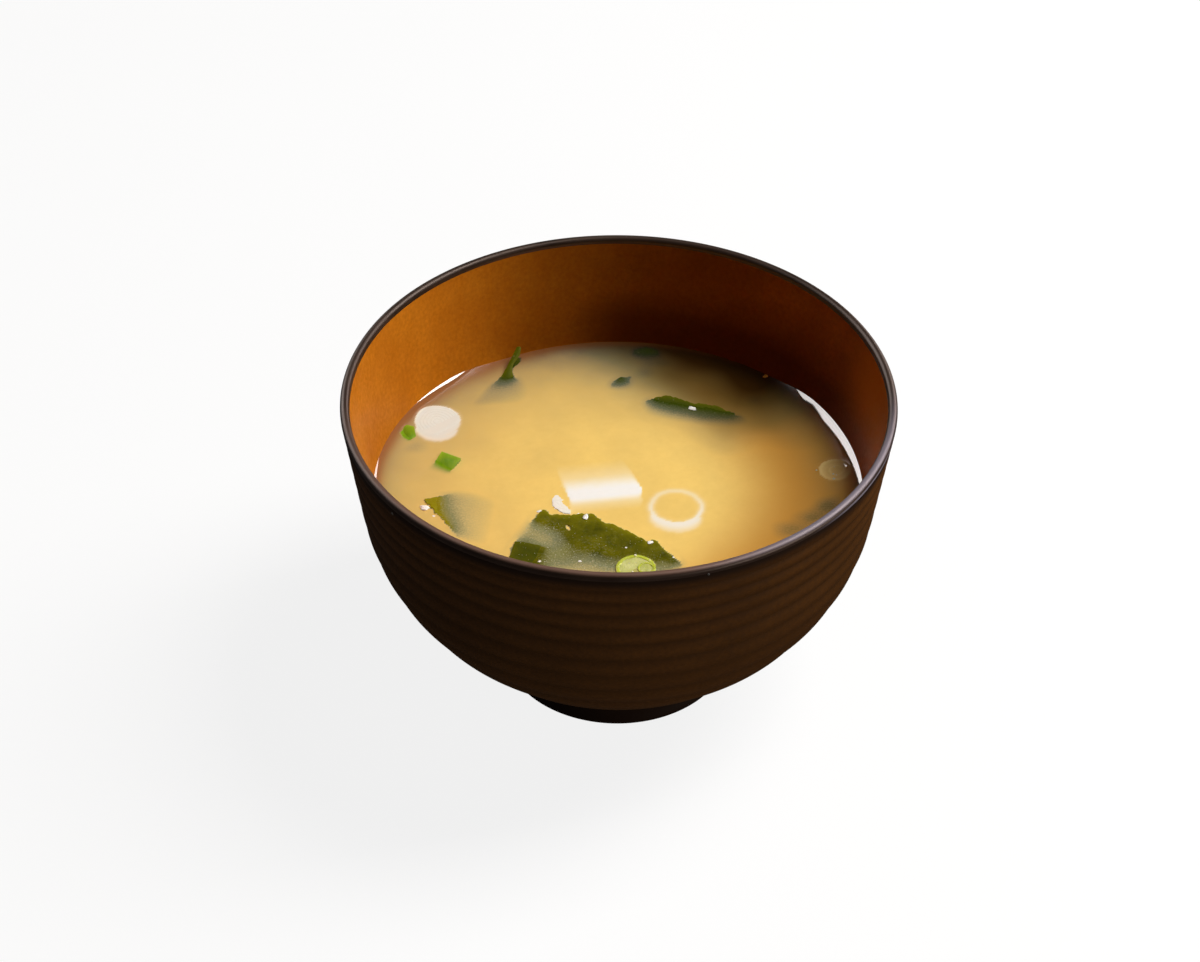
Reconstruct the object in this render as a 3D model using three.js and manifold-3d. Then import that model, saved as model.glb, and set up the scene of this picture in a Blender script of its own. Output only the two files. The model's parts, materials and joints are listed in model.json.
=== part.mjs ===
// A bowl of miso soup: ribbed lacquer bowl, soup, tofu, wakame, leek and spring onion.
// Millimetres, +Z up, origin under the middle of the foot, +Y towards the back of the bowl.
import * as THREE from 'three';
import Module from 'manifold-3d';
import { mergeVertices } from 'three/addons/utils/BufferGeometryUtils.js';
import { RoundedBoxGeometry } from 'three/addons/geometries/RoundedBoxGeometry.js';

const wasm = await Module();
wasm.setup();

// Bowl
const bowlHeight = 70.8;
const rimRadius = 57.5;
const lipHalfWidth = 0.95;
const lipCentreHeight = bowlHeight - lipHalfWidth;
const outside = wallShape({ rim: rimRadius, floor: 2.1, shoulder: 45.9, flare: 0.138 });
const hollow = wallShape({ rim: rimRadius - 2 * lipHalfWidth, floor: 9, shoulder: 46, flare: 0.165 });
const bowlSegments = 52;

// Ribs turned into the outside: each one is a little wider than the one above it
const ribCount = 10;
const topGrooveHeight = 66;
const topRibWidth = 3.45;
const ribGrowth = 1.095;
const grooveDepth = 0.35;
const ribShoulders = [0.22, 0.78];

// Foot ring
const footRadius = 25;
const footWaist = 24.5;
const footHeight = 8;
const footRecessRadius = 21.6;
const footRecessDepth = 3.4;
const footEdge = 0.4;

// Soup
const soupLevel = 45.2;
const meniscusRise = 1.1;
const meniscusReach = 1.2;
const meniscusSteps = [0.5, 1.2, 2.4, 4.6];
const gap = 0.35;

// Garnish
const wakameThickness = 0.5;
const onionThickness = 0.9;
const roundSegments = 20;
const smallSegments = 14;

// Materials
const lacquer = surface(0x2a180a, 0.42);
const broth = surface(0xe2b668, 0.25);
const curd = surface(0xf6efe0, 0.4);
const seaweed = surface(0x2f3d0c, 0.35);
const leekWhite = surface(0xe9e2d2, 0.4);
const onionGreen = surface(0x3f7d1c, 0.35);
const onionBright = surface(0x62a52c, 0.35);
const onionPale = surface(0xb9b24a, 0.35);

function surface(color, roughness) {
  return new THREE.MeshStandardMaterial({ color, roughness, metalness: 0 });
}

// A wall is a quarter ellipse from its floor to its shoulder, opened out by an even flare up to the rim
function wallShape({ rim, floor, shoulder, flare }) {
  return { radius: rim - flare * (lipCentreHeight - floor), floor, shoulder, flare };
}

function wallRadius(shape, z) {
  const below = Math.max(0, (shape.shoulder - z) / (shape.shoulder - shape.floor));
  return shape.radius * Math.sqrt(Math.max(0, 1 - below * below)) + shape.flare * (z - shape.floor);
}

// Point of a wall at height z, moved out of the wall by offset along its normal
function wallPoint(shape, z, offset = 0) {
  const step = 0.02;
  const slope = (wallRadius(shape, z + step) - wallRadius(shape, z - step)) / (2 * step);
  const length = Math.hypot(1, slope);
  return new THREE.Vector2(wallRadius(shape, z) + offset / length, z - (offset * slope) / length);
}

// Heights of a wall from its floor to a top, closer together where it curves most
function wallHeights(shape, top, count) {
  const heights = [];
  const depth = shape.shoulder - shape.floor;
  for (let i = 1; i <= count; i++) {
    const turn = (i / count) * Math.PI / 2;
    heights.push(shape.shoulder - depth * Math.cos(turn));
  }
  return heights.filter((z) => z < top - 1);
}

function turned(points, segments) {
  return new THREE.LatheGeometry(points, segments).rotateX(Math.PI / 2);
}

function toSolid(geometry) {
  const bare = geometry.clone();
  for (const name of Object.keys(bare.attributes)) {
    if (name !== 'position') {
      bare.deleteAttribute(name);
    }
  }
  const merged = mergeVertices(bare, 1e-4);
  const vertProperties = new Float32Array(merged.attributes.position.array);
  const triVerts = new Uint32Array(merged.index.array);
  return new wasm.Manifold(new wasm.Mesh({ numProp: 3, vertProperties, triVerts }));
}

function toGeometry(solid) {
  const mesh = solid.getMesh();
  const geometry = new THREE.BufferGeometry();
  geometry.setAttribute('position', new THREE.BufferAttribute(new Float32Array(mesh.vertProperties), 3));
  geometry.setIndex(new THREE.BufferAttribute(new Uint32Array(mesh.triVerts), 1));
  geometry.computeVertexNormals();
  return geometry;
}

function piece(name, geometry, material) {
  const mesh = new THREE.Mesh(geometry, material);
  mesh.name = name;
  return mesh;
}

// ---- bowl

function grooveHeights() {
  const heights = [topGrooveHeight];
  let width = topRibWidth;
  for (let i = 0; i < ribCount; i++) {
    heights.push(heights[i] - width);
    width *= ribGrowth;
  }
  return heights.reverse();
}

function footProfile() {
  return [
    new THREE.Vector2(0, footRecessDepth),
    new THREE.Vector2(footRecessRadius - footEdge, footRecessDepth),
    new THREE.Vector2(footRecessRadius, footRecessDepth - footEdge),
    new THREE.Vector2(footRecessRadius + footEdge, 0),
    new THREE.Vector2(footRadius - footEdge, 0),
    new THREE.Vector2(footRadius, footEdge),
    new THREE.Vector2(footWaist, footHeight / 2),
    wallPoint(outside, footHeight),
  ];
}

function ribbedProfile() {
  const grooves = grooveHeights();
  const points = [];
  for (let i = 0; i < grooves.length; i++) {
    points.push(wallPoint(outside, grooves[i], -grooveDepth));
    if (i + 1 < grooves.length) {
      const width = grooves[i + 1] - grooves[i];
      points.push(...ribShoulders.map((share) => wallPoint(outside, grooves[i] + share * width)));
    }
  }
  points.push(wallPoint(outside, topGrooveHeight + 0.8));
  return points;
}

function lipProfile() {
  const steps = 6;
  const points = [];
  for (let i = 0; i <= steps; i++) {
    const turn = (i / steps) * Math.PI;
    const r = rimRadius - lipHalfWidth + lipHalfWidth * Math.cos(turn);
    points.push(new THREE.Vector2(r, lipCentreHeight + lipHalfWidth * Math.sin(turn)));
  }
  return points;
}

function hollowProfile() {
  const heights = [...wallHeights(hollow, lipCentreHeight, 9), 54, 62];
  const points = heights.map((z) => wallPoint(hollow, z));
  return [...points.reverse(), new THREE.Vector2(0, hollow.floor)];
}

function bowl() {
  const profile = [...footProfile(), ...ribbedProfile(), ...lipProfile(), ...hollowProfile()];
  return piece('bowl', turned(profile, bowlSegments), lacquer);
}

// ---- soup

function soupBody() {
  const contact = wallPoint(hollow, soupLevel + meniscusRise, -gap);
  const profile = [new THREE.Vector2(0, hollow.floor + gap)];
  for (const z of wallHeights(hollow, soupLevel, 9)) {
    profile.push(wallPoint(hollow, z, -gap));
  }
  profile.push(contact);
  for (const inward of meniscusSteps) {
    const rise = meniscusRise * Math.exp(-inward / meniscusReach);
    profile.push(new THREE.Vector2(contact.x - inward, soupLevel + rise));
  }
  profile.push(new THREE.Vector2(0, soupLevel));
  return toSolid(turned(profile, bowlSegments));
}

// ---- thin wavy sheets: leaves and bits of onion leaf

// Point x, y and height above the soup level
function at(x, y, height) {
  return new THREE.Vector3(x, y, soupLevel + height);
}

// Small notches of a torn edge, as a shift across the sheet
function notches(share, depth) {
  return depth * (0.6 * Math.sin(share * 41) + 0.4 * Math.sin(share * 67 + 1.3));
}

// Middle surface of a sheet: straight lines across between a far and a near edge,
// with an arched section, a torn far edge and hollows that dip under the soup
function sheetGrid({ far, near, along, across, arch = 0, torn = 0, dips = [] }) {
  const farEdge = new THREE.CatmullRomCurve3(far);
  const nearEdge = new THREE.CatmullRomCurve3(near);
  const rows = [];
  for (let i = 0; i <= along; i++) {
    const share = i / along;
    const start = farEdge.getPoint(share);
    const end = nearEdge.getPoint(share);
    const row = [];
    for (let j = 0; j <= across; j++) {
      const over = j / across;
      const point = start.clone().lerp(end, over);
      point.y += notches(share, torn) * (1 - over) ** 3;
      point.z += arch * Math.sin(Math.PI * over);
      for (const dip of dips) {
        const away = Math.hypot(point.x - dip.x, point.y - dip.y) / dip.reach;
        point.z -= dip.depth * Math.exp(-away * away);
      }
      row.push(point);
    }
    rows.push(row);
  }
  return rows;
}

// Indices round the outline of a grid of rows, anticlockwise from above
function outlineIndices(along, across) {
  const wide = across + 1;
  const loop = [];
  for (let j = 0; j < across; j++) {
    loop.push(j);
  }
  for (let i = 0; i < along; i++) {
    loop.push(i * wide + across);
  }
  for (let j = across; j > 0; j--) {
    loop.push(along * wide + j);
  }
  for (let i = along; i > 0; i--) {
    loop.push(i * wide);
  }
  return loop;
}

// Push an outline outwards in plan, square to its sides
function widen(points, loop, distance) {
  const count = loop.length;
  const pushes = loop.map((index, k) => {
    const before = points[loop[(k + count - 1) % count]];
    const here = points[index];
    const after = points[loop[(k + 1) % count]];
    const sideIn = new THREE.Vector2(here.y - before.y, before.x - here.x).normalize();
    const sideOut = new THREE.Vector2(after.y - here.y, here.x - after.x).normalize();
    const corner = sideIn.clone().add(sideOut).normalize();
    return corner.multiplyScalar(distance / Math.max(0.5, corner.dot(sideIn)));
  });
  loop.forEach((index, k) => {
    points[index].x += pushes[k].x;
    points[index].y += pushes[k].y;
  });
}

// Closed sheet: top and bottom faces split into triangles alike, and a rim round them
function sheetSolid(shape, grow = 0) {
  const points = sheetGrid(shape).flat();
  const loop = outlineIndices(shape.along, shape.across);
  widen(points, loop, grow);
  const half = shape.thickness / 2 + grow;
  const positions = [];
  for (const side of [half, -half]) {
    for (const point of points) {
      positions.push(point.x, point.y, point.z + side);
    }
  }
  const wide = shape.across + 1;
  const layer = points.length;
  const faces = [];
  for (let i = 0; i < shape.along; i++) {
    for (let j = 0; j < shape.across; j++) {
      const a = i * wide + j;
      const b = a + wide;
      faces.push(a, a + 1, b + 1, a, b + 1, b);
      faces.push(layer + a, layer + b + 1, layer + a + 1, layer + a, layer + b, layer + b + 1);
    }
  }
  loop.forEach((a, k) => {
    const b = loop[(k + 1) % loop.length];
    faces.push(b, a, layer + a, b, layer + a, layer + b);
  });
  const geometry = new THREE.BufferGeometry();
  geometry.setAttribute('position', new THREE.Float32BufferAttribute(positions, 3));
  geometry.setIndex(faces);
  return toSolid(geometry);
}

const wakameFront = {
  thickness: wakameThickness,
  far: [at(-21.3, -17.7, 0.3), at(-18.6, -12, -0.6), at(-15.5, -7.6, 0.5), at(-12.2, -9.1, 0.5),
    at(-8.8, -9, 0.55), at(-2, -11.4, 0.55), at(4.5, -15.3, 0.5), at(8.8, -18.2, 0.45),
    at(12.6, -22.6, 0.3)],
  near: [at(-22.4, -23, 0.3), at(-18.5, -25.5, 0.15), at(-13, -27.5, -0.4), at(-6, -28.5, -0.8),
    at(0, -29, -1), at(6, -28.5, -1), at(10, -26.5, -0.7), at(13, -23.6, 0)],
  along: 18,
  across: 7,
  torn: 0.35,
  dips: [{ x: -15.5, y: -15, reach: 4.2, depth: 1.3 }, { x: 4, y: -26, reach: 5, depth: 1.5 }],
};

const wakameLeft = {
  thickness: wakameThickness,
  far: [at(-40.6, -4.7, 0.4), at(-37.8, -3.2, 0.3), at(-35, -2.3, 0), at(-32.2, -1.5, -0.6),
    at(-29, -1.5, -1.4)],
  near: [at(-40.1, -5.6, 0.4), at(-38.2, -8.1, 0.45), at(-35.9, -11.7, 0.4), at(-33.2, -15.8, -0.1),
    at(-31, -18, -0.9)],
  along: 9,
  across: 5,
  torn: 0.2,
};

const wakameStrand = {
  thickness: wakameThickness,
  far: [at(-29.8, 31.5, -1.4), at(-27.2, 36.6, -0.4), at(-25.6, 40.2, 0.6), at(-24.2, 43.2, 1.9),
    at(-22.8, 45.4, 3)],
  near: [at(-19, 33.5, -1.4), at(-22.4, 37.4, -0.3), at(-23.3, 40.2, 0.7), at(-22.7, 43.1, 2),
    at(-21.9, 45.2, 2.9)],
  along: 10,
  across: 3,
  arch: 0.2,
};

const wakameBack = {
  thickness: wakameThickness,
  far: [at(3.2, 48.8, 0.5), at(6, 49.6, 0.8), at(8.8, 48.6, 0.4)],
  near: [at(3, 46.4, -0.2), at(6, 45.5, -0.3), at(9, 46.2, -0.3)],
  along: 6,
  across: 3,
  arch: 0.3,
};

const wakameSmall = {
  thickness: wakameThickness,
  far: [at(-1.5, 36.6, 0.2), at(0.5, 38.6, 0.4), at(2.6, 38.8, 0.1)],
  near: [at(-1.8, 34.8, -0.3), at(0.4, 34.6, -0.5), at(2.5, 35.6, -0.7)],
  along: 5,
  across: 3,
  arch: 0.2,
};

const wakameRidge = {
  thickness: wakameThickness,
  far: [at(6, 30.1, 0), at(9.1, 31.5, 0.5), at(16.1, 29.3, 0.6), at(24.3, 26.5, 0.5), at(27, 24.9, 0)],
  near: [at(7, 27, -1), at(12, 25.5, -1.2), at(18.4, 24, -1), at(24, 23, -1.2), at(27.4, 23.4, -1)],
  along: 12,
  across: 3,
  arch: 0.5,
  torn: 0.25,
};

const onionSquare = {
  thickness: onionThickness,
  far: [at(-37.9, 11.2, 0.2), at(-33.7, 8.6, 0.3)],
  near: [at(-40, 6.4, -0.9), at(-35.9, 4.8, 0)],
  along: 4,
  across: 4,
  arch: 0.5,
};

const onionBit = {
  thickness: onionThickness,
  far: [at(-47.2, 17.4, -0.2), at(-46.1, 19.5, 0.9), at(-44.5, 18.7, 1)],
  near: [at(-46.6, 15.8, -0.7), at(-45.3, 15.6, 0), at(-44, 16.9, 0.2)],
  along: 4,
  across: 3,
  arch: 0.3,
};

// Crescent of white crumb on the surface beside the tofu
const tofuCrumb = {
  thickness: 0.8,
  far: [at(-11.6, -7.8, 0.1), at(-12.9, -6.8, 0.1), at(-13.4, -5, 0.1), at(-12.8, -3.4, 0.1)],
  near: [at(-10.7, -7.4, 0.1), at(-11.2, -6.2, 0.1), at(-11.6, -5, 0.1), at(-12.4, -3.5, 0.1)],
  along: 6,
  across: 2,
};

// ---- rounds of leek and onion

// Disc of leek stem, thick and a little oval, tipped towards the middle of the bowl
const leekDisc = {
  x: -39.3, y: 22.1, radius: 4.9, top: 0.35, thickness: 2.8, edge: 0.45, long: 1.06, segments: roundSegments,
};
// Single skin of leek, standing on edge in the soup
const leekRing = {
  x: 12.3, y: -6, radius: 5.75, wall: 0.85, top: 0.3, thickness: 3.4, edge: 0.25, segments: roundSegments,
};
// Slices of spring onion: an outer skin, a film across it and smaller skins within
const frontSlice = {
  x: 3.9, y: -26, radius: 4.15, wall: 0.8, top: 0.45, thickness: 0.9, edge: 0.2, film: 0.5,
  segments: roundSegments, inner: [{ x: 1.9, y: 0.6, radius: 1.9, wall: 0.55 }],
};
const rightSlice = {
  x: 46.3, y: 6.7, radius: 3.5, wall: 0.7, top: 0.3, thickness: 1.1, edge: 0.15, film: 0.5,
  segments: roundSegments, inner: [{ x: 0.3, y: -0.2, radius: 1.7, wall: 0.4 }],
};

function discSolid(round, grow = 0) {
  const r = round.radius + grow;
  const high = round.top + grow;
  const low = round.top - round.thickness - grow;
  const profile = [
    new THREE.Vector2(0, low),
    new THREE.Vector2(r, low),
    new THREE.Vector2(r, high - round.edge),
    new THREE.Vector2(r - round.edge, high),
    new THREE.Vector2(0, high),
  ];
  const geometry = turned(profile, round.segments).scale(1, round.long ?? 1, 1);
  return toSolid(geometry.translate(round.x, round.y, soupLevel));
}

function ringSolid(round, grow = 0) {
  const outer = round.radius + grow;
  const inner = round.radius - round.wall - grow;
  const high = round.top + grow;
  const low = round.top - round.thickness - grow;
  const profile = [
    new THREE.Vector2(inner, low),
    new THREE.Vector2(outer, low),
    new THREE.Vector2(outer, high - round.edge),
    new THREE.Vector2(outer - round.edge, high),
    new THREE.Vector2(inner + round.edge, high),
    new THREE.Vector2(inner, high - round.edge),
    new THREE.Vector2(inner, low),
  ];
  return toSolid(turned(profile, round.segments).translate(round.x, round.y, soupLevel));
}

function sliceSolid(slice) {
  const top = slice.top - 0.25;
  const radius = slice.radius - slice.wall / 2;
  let solid = ringSolid(slice).add(discSolid({ ...slice, top, radius, thickness: slice.film, edge: 0.1 }));
  for (const skin of slice.inner) {
    const x = slice.x + skin.x;
    const y = slice.y + skin.y;
    solid = solid.add(ringSolid({ ...slice, ...skin, x, y, segments: smallSegments }));
  }
  return solid;
}

// ---- tofu

// Cube of tofu cut a little askew, floating with its front top edge at the surface
const tofuBlock = {
  frontLeft: { x: -10.3, y: -3.5 }, width: 16, depth: 12.5, height: 10, round: 0.5,
  turn: 9.7, lean: 8, askew: 0.17, top: 0.45,
};

function tofuSolid(grow = 0) {
  const { width, depth, height, round, turn, lean, askew, top, frontLeft } = tofuBlock;
  const box = new RoundedBoxGeometry(width + 2 * grow, depth + 2 * grow, height + 2 * grow, 2, round);
  box.translate(width / 2, depth / 2, -height / 2);
  const skew = new THREE.Matrix4().set(1, -askew, 0, 0, 0, 1, 0, 0, 0, 0, 1, 0, 0, 0, 0, 1);
  box.applyMatrix4(skew);
  box.rotateX(THREE.MathUtils.degToRad(-lean));
  box.rotateZ(THREE.MathUtils.degToRad(turn));
  return toSolid(box.translate(frontLeft.x, frontLeft.y, soupLevel + top));
}

// ---- all of it

const garnish = [
  ['tofu', tofuSolid(), tofuSolid(gap), curd],
  ['tofu_crumb', sheetSolid(tofuCrumb), sheetSolid(tofuCrumb, gap), curd],
  ['leek_disc', discSolid(leekDisc), discSolid(leekDisc, gap), leekWhite],
  ['leek_ring', ringSolid(leekRing), ringSolid(leekRing, gap), leekWhite],
  ['onion_slice_front', sliceSolid(frontSlice), discSolid(frontSlice, gap), onionPale],
  ['onion_slice_right', sliceSolid(rightSlice), discSolid(rightSlice, gap), onionPale],
  ['onion_square', sheetSolid(onionSquare), sheetSolid(onionSquare, gap), onionGreen],
  ['onion_bit', sheetSolid(onionBit), sheetSolid(onionBit, gap), onionBright],
  ['wakame_front', sheetSolid(wakameFront), sheetSolid(wakameFront, gap), seaweed],
  ['wakame_left', sheetSolid(wakameLeft), sheetSolid(wakameLeft, gap), seaweed],
  ['wakame_strand', sheetSolid(wakameStrand), sheetSolid(wakameStrand, gap), seaweed],
  ['wakame_back', sheetSolid(wakameBack), sheetSolid(wakameBack, gap), seaweed],
  ['wakame_small', sheetSolid(wakameSmall), sheetSolid(wakameSmall, gap), seaweed],
  ['wakame_ridge', sheetSolid(wakameRidge), sheetSolid(wakameRidge, gap), seaweed],
];

const dish = new THREE.Group();
dish.add(bowl());
let soup = soupBody();
for (const [name, solid, pocket, material] of garnish) {
  soup = soup.subtract(pocket);
  dish.add(piece(name, toGeometry(solid), material));
}
dish.add(piece('soup', toGeometry(soup), broth));

export default dish;
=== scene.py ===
import json
import math
import random

import bmesh
import bpy
import numpy as np
from mathutils import Matrix, Vector, noise
from mathutils.bvhtree import BVHTree

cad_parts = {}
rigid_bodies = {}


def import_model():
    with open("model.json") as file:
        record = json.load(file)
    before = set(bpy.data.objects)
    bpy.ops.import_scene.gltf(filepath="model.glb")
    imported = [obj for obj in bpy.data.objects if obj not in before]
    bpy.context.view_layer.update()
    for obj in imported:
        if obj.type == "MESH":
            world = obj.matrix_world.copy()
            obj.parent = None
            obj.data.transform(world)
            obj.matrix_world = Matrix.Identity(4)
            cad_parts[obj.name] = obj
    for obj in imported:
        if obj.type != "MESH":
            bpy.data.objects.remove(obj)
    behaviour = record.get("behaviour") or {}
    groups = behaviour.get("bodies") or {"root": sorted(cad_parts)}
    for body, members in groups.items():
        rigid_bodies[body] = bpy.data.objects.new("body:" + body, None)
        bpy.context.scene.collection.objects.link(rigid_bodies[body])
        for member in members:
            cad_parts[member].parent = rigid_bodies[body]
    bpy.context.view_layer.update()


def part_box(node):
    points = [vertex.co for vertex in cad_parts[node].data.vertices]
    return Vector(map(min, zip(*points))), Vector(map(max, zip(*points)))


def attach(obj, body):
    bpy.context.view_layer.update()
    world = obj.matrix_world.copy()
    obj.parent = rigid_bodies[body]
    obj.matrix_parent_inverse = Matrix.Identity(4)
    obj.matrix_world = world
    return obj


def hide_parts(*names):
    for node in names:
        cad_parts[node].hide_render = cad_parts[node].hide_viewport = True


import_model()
mm = 0.001
soupLevel = 45.2        # flat middle of the soup, in millimetres above the table
sceneObjects = bpy.context.scene.collection.objects
print("frame loaded")


# Mesh helpers. Shapes are modelled in millimetres and brought to metres by addPiece.

def addPiece(name, bm, materials, nodes=()):
    bmesh.ops.scale(bm, vec=(mm, mm, mm), verts=bm.verts)
    mesh = bpy.data.meshes.new(name)
    bm.to_mesh(mesh)
    bm.free()
    for material in materials:
        mesh.materials.append(material)
    mesh.polygons.foreach_set("use_smooth", [True] * len(mesh.polygons))
    mesh.set_sharp_from_angle(angle=math.radians(40))
    piece = bpy.data.objects.new(name, mesh)
    sceneObjects.link(piece)
    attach(piece, "root")
    if nodes:
        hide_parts(*nodes)
    return piece


def spinProfile(bm, points, steps, closed=False, centre=(0.0, 0.0)):
    # turns an outline of (radius, height) points into a closed body round a vertical axis
    verts = [bm.verts.new((centre[0] + r, centre[1], z)) for r, z in points]
    edges = [bm.edges.new(pair) for pair in zip(verts, verts[1:])]
    if closed:
        edges.append(bm.edges.new((verts[-1], verts[0])))
    bmesh.ops.spin(bm, geom=verts + edges, cent=(centre[0], centre[1], 0), axis=(0, 0, 1),
                   angle=math.tau, steps=steps, use_merge=True)
    bmesh.ops.remove_doubles(bm, verts=bm.verts, dist=1e-4)
    bmesh.ops.recalc_face_normals(bm, faces=bm.faces)


def arc(centreR, centreZ, radius, start, end, steps):
    # points of a round corner in an outline, angles in degrees from the outward direction
    turns = [math.radians(start + (end - start) * i / steps) for i in range(steps + 1)]
    return [(centreR + radius * math.cos(t), centreZ + radius * math.sin(t)) for t in turns]


def wobble(point, size, seed=0.0):
    # smooth noise from -1 to 1 with bumps about as wide as size
    return noise.noise(Vector(point) / size + Vector((seed, seed * 1.7, seed * 0.6)))


# Shader helpers

def setInputs(tree, node, inputs):
    # links a socket, or sets a plain number or colour
    for name, value in inputs.items():
        if isinstance(value, bpy.types.NodeSocket):
            tree.links.new(value, node.inputs[name])
        else:
            node.inputs[name].default_value = value


def addNode(tree, kind, inputs=None, **settings):
    made = tree.nodes.new("ShaderNode" + kind)
    for name, value in settings.items():
        setattr(made, name, value)
    setInputs(tree, made, inputs or {})
    return made


def mixColors(tree, factor, first, second, blend="MIX"):
    inputs = {0: factor}
    for index, color in ((6, first), (7, second)):
        inputs[index] = color if isinstance(color, bpy.types.NodeSocket) else (*color, 1.0)
    return addNode(tree, "Mix", inputs, data_type="RGBA", blend_type=blend).outputs[2]


def calculate(tree, operation, first, second=0.0, clamp=False):
    made = addNode(tree, "Math", {0: first, 1: second}, operation=operation, use_clamp=clamp)
    return made.outputs[0]


def multiply(tree, first, second, clamp=False):
    return calculate(tree, "MULTIPLY", first, second, clamp)


def rescale(tree, value, low, high, toLow=0.0, toHigh=1.0, smooth=False):
    made = addNode(tree, "MapRange", {"Value": value, "From Min": low, "From Max": high,
                                      "To Min": toLow, "To Max": toHigh},
                   interpolation_type="SMOOTHSTEP" if smooth else "LINEAR")
    return made.outputs["Result"]


def noiseMask(tree, point, scale, detail=3.0, roughness=0.5, low=0.3, high=0.7):
    made = addNode(tree, "TexNoise", {"Vector": point, "Scale": scale, "Detail": detail,
                                      "Roughness": roughness})
    return rescale(tree, made.outputs["Fac"], low, high)


def objectPoint(tree):
    return addNode(tree, "TexCoord").outputs["Object"]


def axisOf(tree, point, axis):
    return addNode(tree, "SeparateXYZ", {"Vector": point}).outputs[axis]


def pointValue(tree, name):
    # a number painted on the mesh
    return addNode(tree, "Attribute", attribute_name=name).outputs["Fac"]


def bumpNormal(tree, height, strength, distance):
    made = addNode(tree, "Bump", {"Height": height, "Strength": strength, "Distance": distance})
    return made.outputs["Normal"]


def newMaterial(name, values):
    material = bpy.data.materials.new(name)
    material.use_nodes = True
    tree = material.node_tree
    shader = tree.nodes["Principled BSDF"]
    setInputs(tree, shader, values)
    return material, tree, shader


def newGroup(name, inputs, outputs):
    group = bpy.data.node_groups.new(name, "ShaderNodeTree")
    for socket, kind, value in inputs:
        made = group.interface.new_socket(socket, in_out="INPUT", socket_type="NodeSocket" + kind)
        if value is not None:
            made.default_value = value
    for socket, kind in outputs:
        group.interface.new_socket(socket, in_out="OUTPUT", socket_type="NodeSocket" + kind)
    entry = group.nodes.new("NodeGroupInput")
    leave = group.nodes.new("NodeGroupOutput")
    return group, entry, leave


def placeGroup(tree, group, inputs):
    made = tree.nodes.new("ShaderNodeGroup")
    made.node_tree = group
    setInputs(tree, made, inputs)
    return made.outputs


# Shared effects

def softMottleGroup():
    # fine grain and large soft blotches, for lacquer, soup, tofu and leek
    group, entry, leave = newGroup(
        "softMottle",
        [("Vector", "Vector", None), ("Fine Scale", "Float", 1200.0), ("Blotch Scale", "Float", 120.0)],
        [("Fine", "Float"), ("Blotch", "Float")])
    point = entry.outputs["Vector"]
    setInputs(group, leave, {
        "Fine": noiseMask(group, point, entry.outputs["Fine Scale"], 4.0, 0.6),
        "Blotch": noiseMask(group, point, entry.outputs["Blotch Scale"], 2.0, 0.5)})
    return group


def paleDustGroup():
    # fine pale dots of uneven size and spacing, for the leaves and what shows of them in the soup
    group, entry, leave = newGroup(
        "paleDust",
        [("Vector", "Vector", None), ("Scale", "Float", 1500.0), ("Size", "Float", 0.2)],
        [("Mask", "Float")])
    cell = addNode(group, "TexVoronoi", {"Vector": entry.outputs["Vector"], "Scale": entry.outputs["Scale"]})
    chance = addNode(group, "SeparateColor", {"Color": cell.outputs["Color"]}).outputs["Red"]
    size = multiply(group, rescale(group, chance, 0.45, 1.0), entry.outputs["Size"])
    inside = calculate(group, "SUBTRACT", size, cell.outputs["Distance"])
    setInputs(group, leave, {"Mask": multiply(group, inside, 14.0, clamp=True)})
    return group


wakameColors = {
    "dark": (0.030, 0.036, 0.0008),
    "vein": (0.062, 0.065, 0.0010),
    "olive": (0.168, 0.153, 0.002),
    "backGreen": (0.040, 0.060, 0.0015),
    "leftOlive": (0.29, 0.24, 0.006),
    "edge": (0.27, 0.24, 0.003),
    "dust": (0.31, 0.33, 0.18),
    "shade": (0.034, 0.046, 0.0015),
    "powderAmount": 0.6,
    "dotAmount": 0.16,
}


def wakameSkinGroup():
    # olive to near-black green, greener towards the back, paler at its edge, dusted with pale dots
    group, entry, leave = newGroup(
        "wakameSkin",
        [("Vector", "Vector", None), ("Edge", "Float", 0.0)],
        [("Color", "Color"), ("Height", "Float")])
    point = entry.outputs["Vector"]
    broad = noiseMask(group, point, 170.0, 3.0, 0.55, 0.32, 0.68)
    veins = noiseMask(group, point, 700.0, 4.0, 0.6, 0.3, 0.7)
    dark = mixColors(group, veins, wakameColors["dark"], wakameColors["vein"])
    olive = mixColors(group, broad, dark, wakameColors["olive"])
    depth = axisOf(group, point, "Y")
    back = rescale(group, depth, 0.0, 0.03)
    green = mixColors(group, back, olive, wakameColors["backGreen"])
    left = rescale(group, axisOf(group, point, "X"), -0.026, -0.036, 0.0, 0.75)
    lighter = mixColors(group, left, green, wakameColors["leftOlive"])
    paleEdge = multiply(group, entry.outputs["Edge"], rescale(group, back, 0, 1, 0.8, 0.3))
    rim = mixColors(group, paleEdge, lighter, wakameColors["edge"])
    powder = noiseMask(group, point, 2300.0, 2.0, 0.6, 0.50, 0.70)
    patches = noiseMask(group, point, 260.0, 3.0, 0.6, 0.40, 0.72)
    wet = rescale(group, axisOf(group, point, "Z"), 0.04552, 0.04522, 0.05, 1.0)   # more near the soup
    nearFront = multiply(group, wet, rescale(group, depth, 0.0, 0.02, 1.0, 0.1))
    grains = multiply(group, multiply(group, powder, patches), nearFront)
    dots = placeGroup(group, paleDust, {"Vector": point, "Scale": 900.0, "Size": 0.30})["Mask"]
    dusty = calculate(group, "MAXIMUM", multiply(group, grains, wakameColors["powderAmount"]),
                      multiply(group, dots, wakameColors["dotAmount"]))
    setInputs(group, leave, {"Color": mixColors(group, dusty, rim, wakameColors["dust"]),
                             "Height": calculate(group, "ADD", veins, broad)})
    return group


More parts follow.
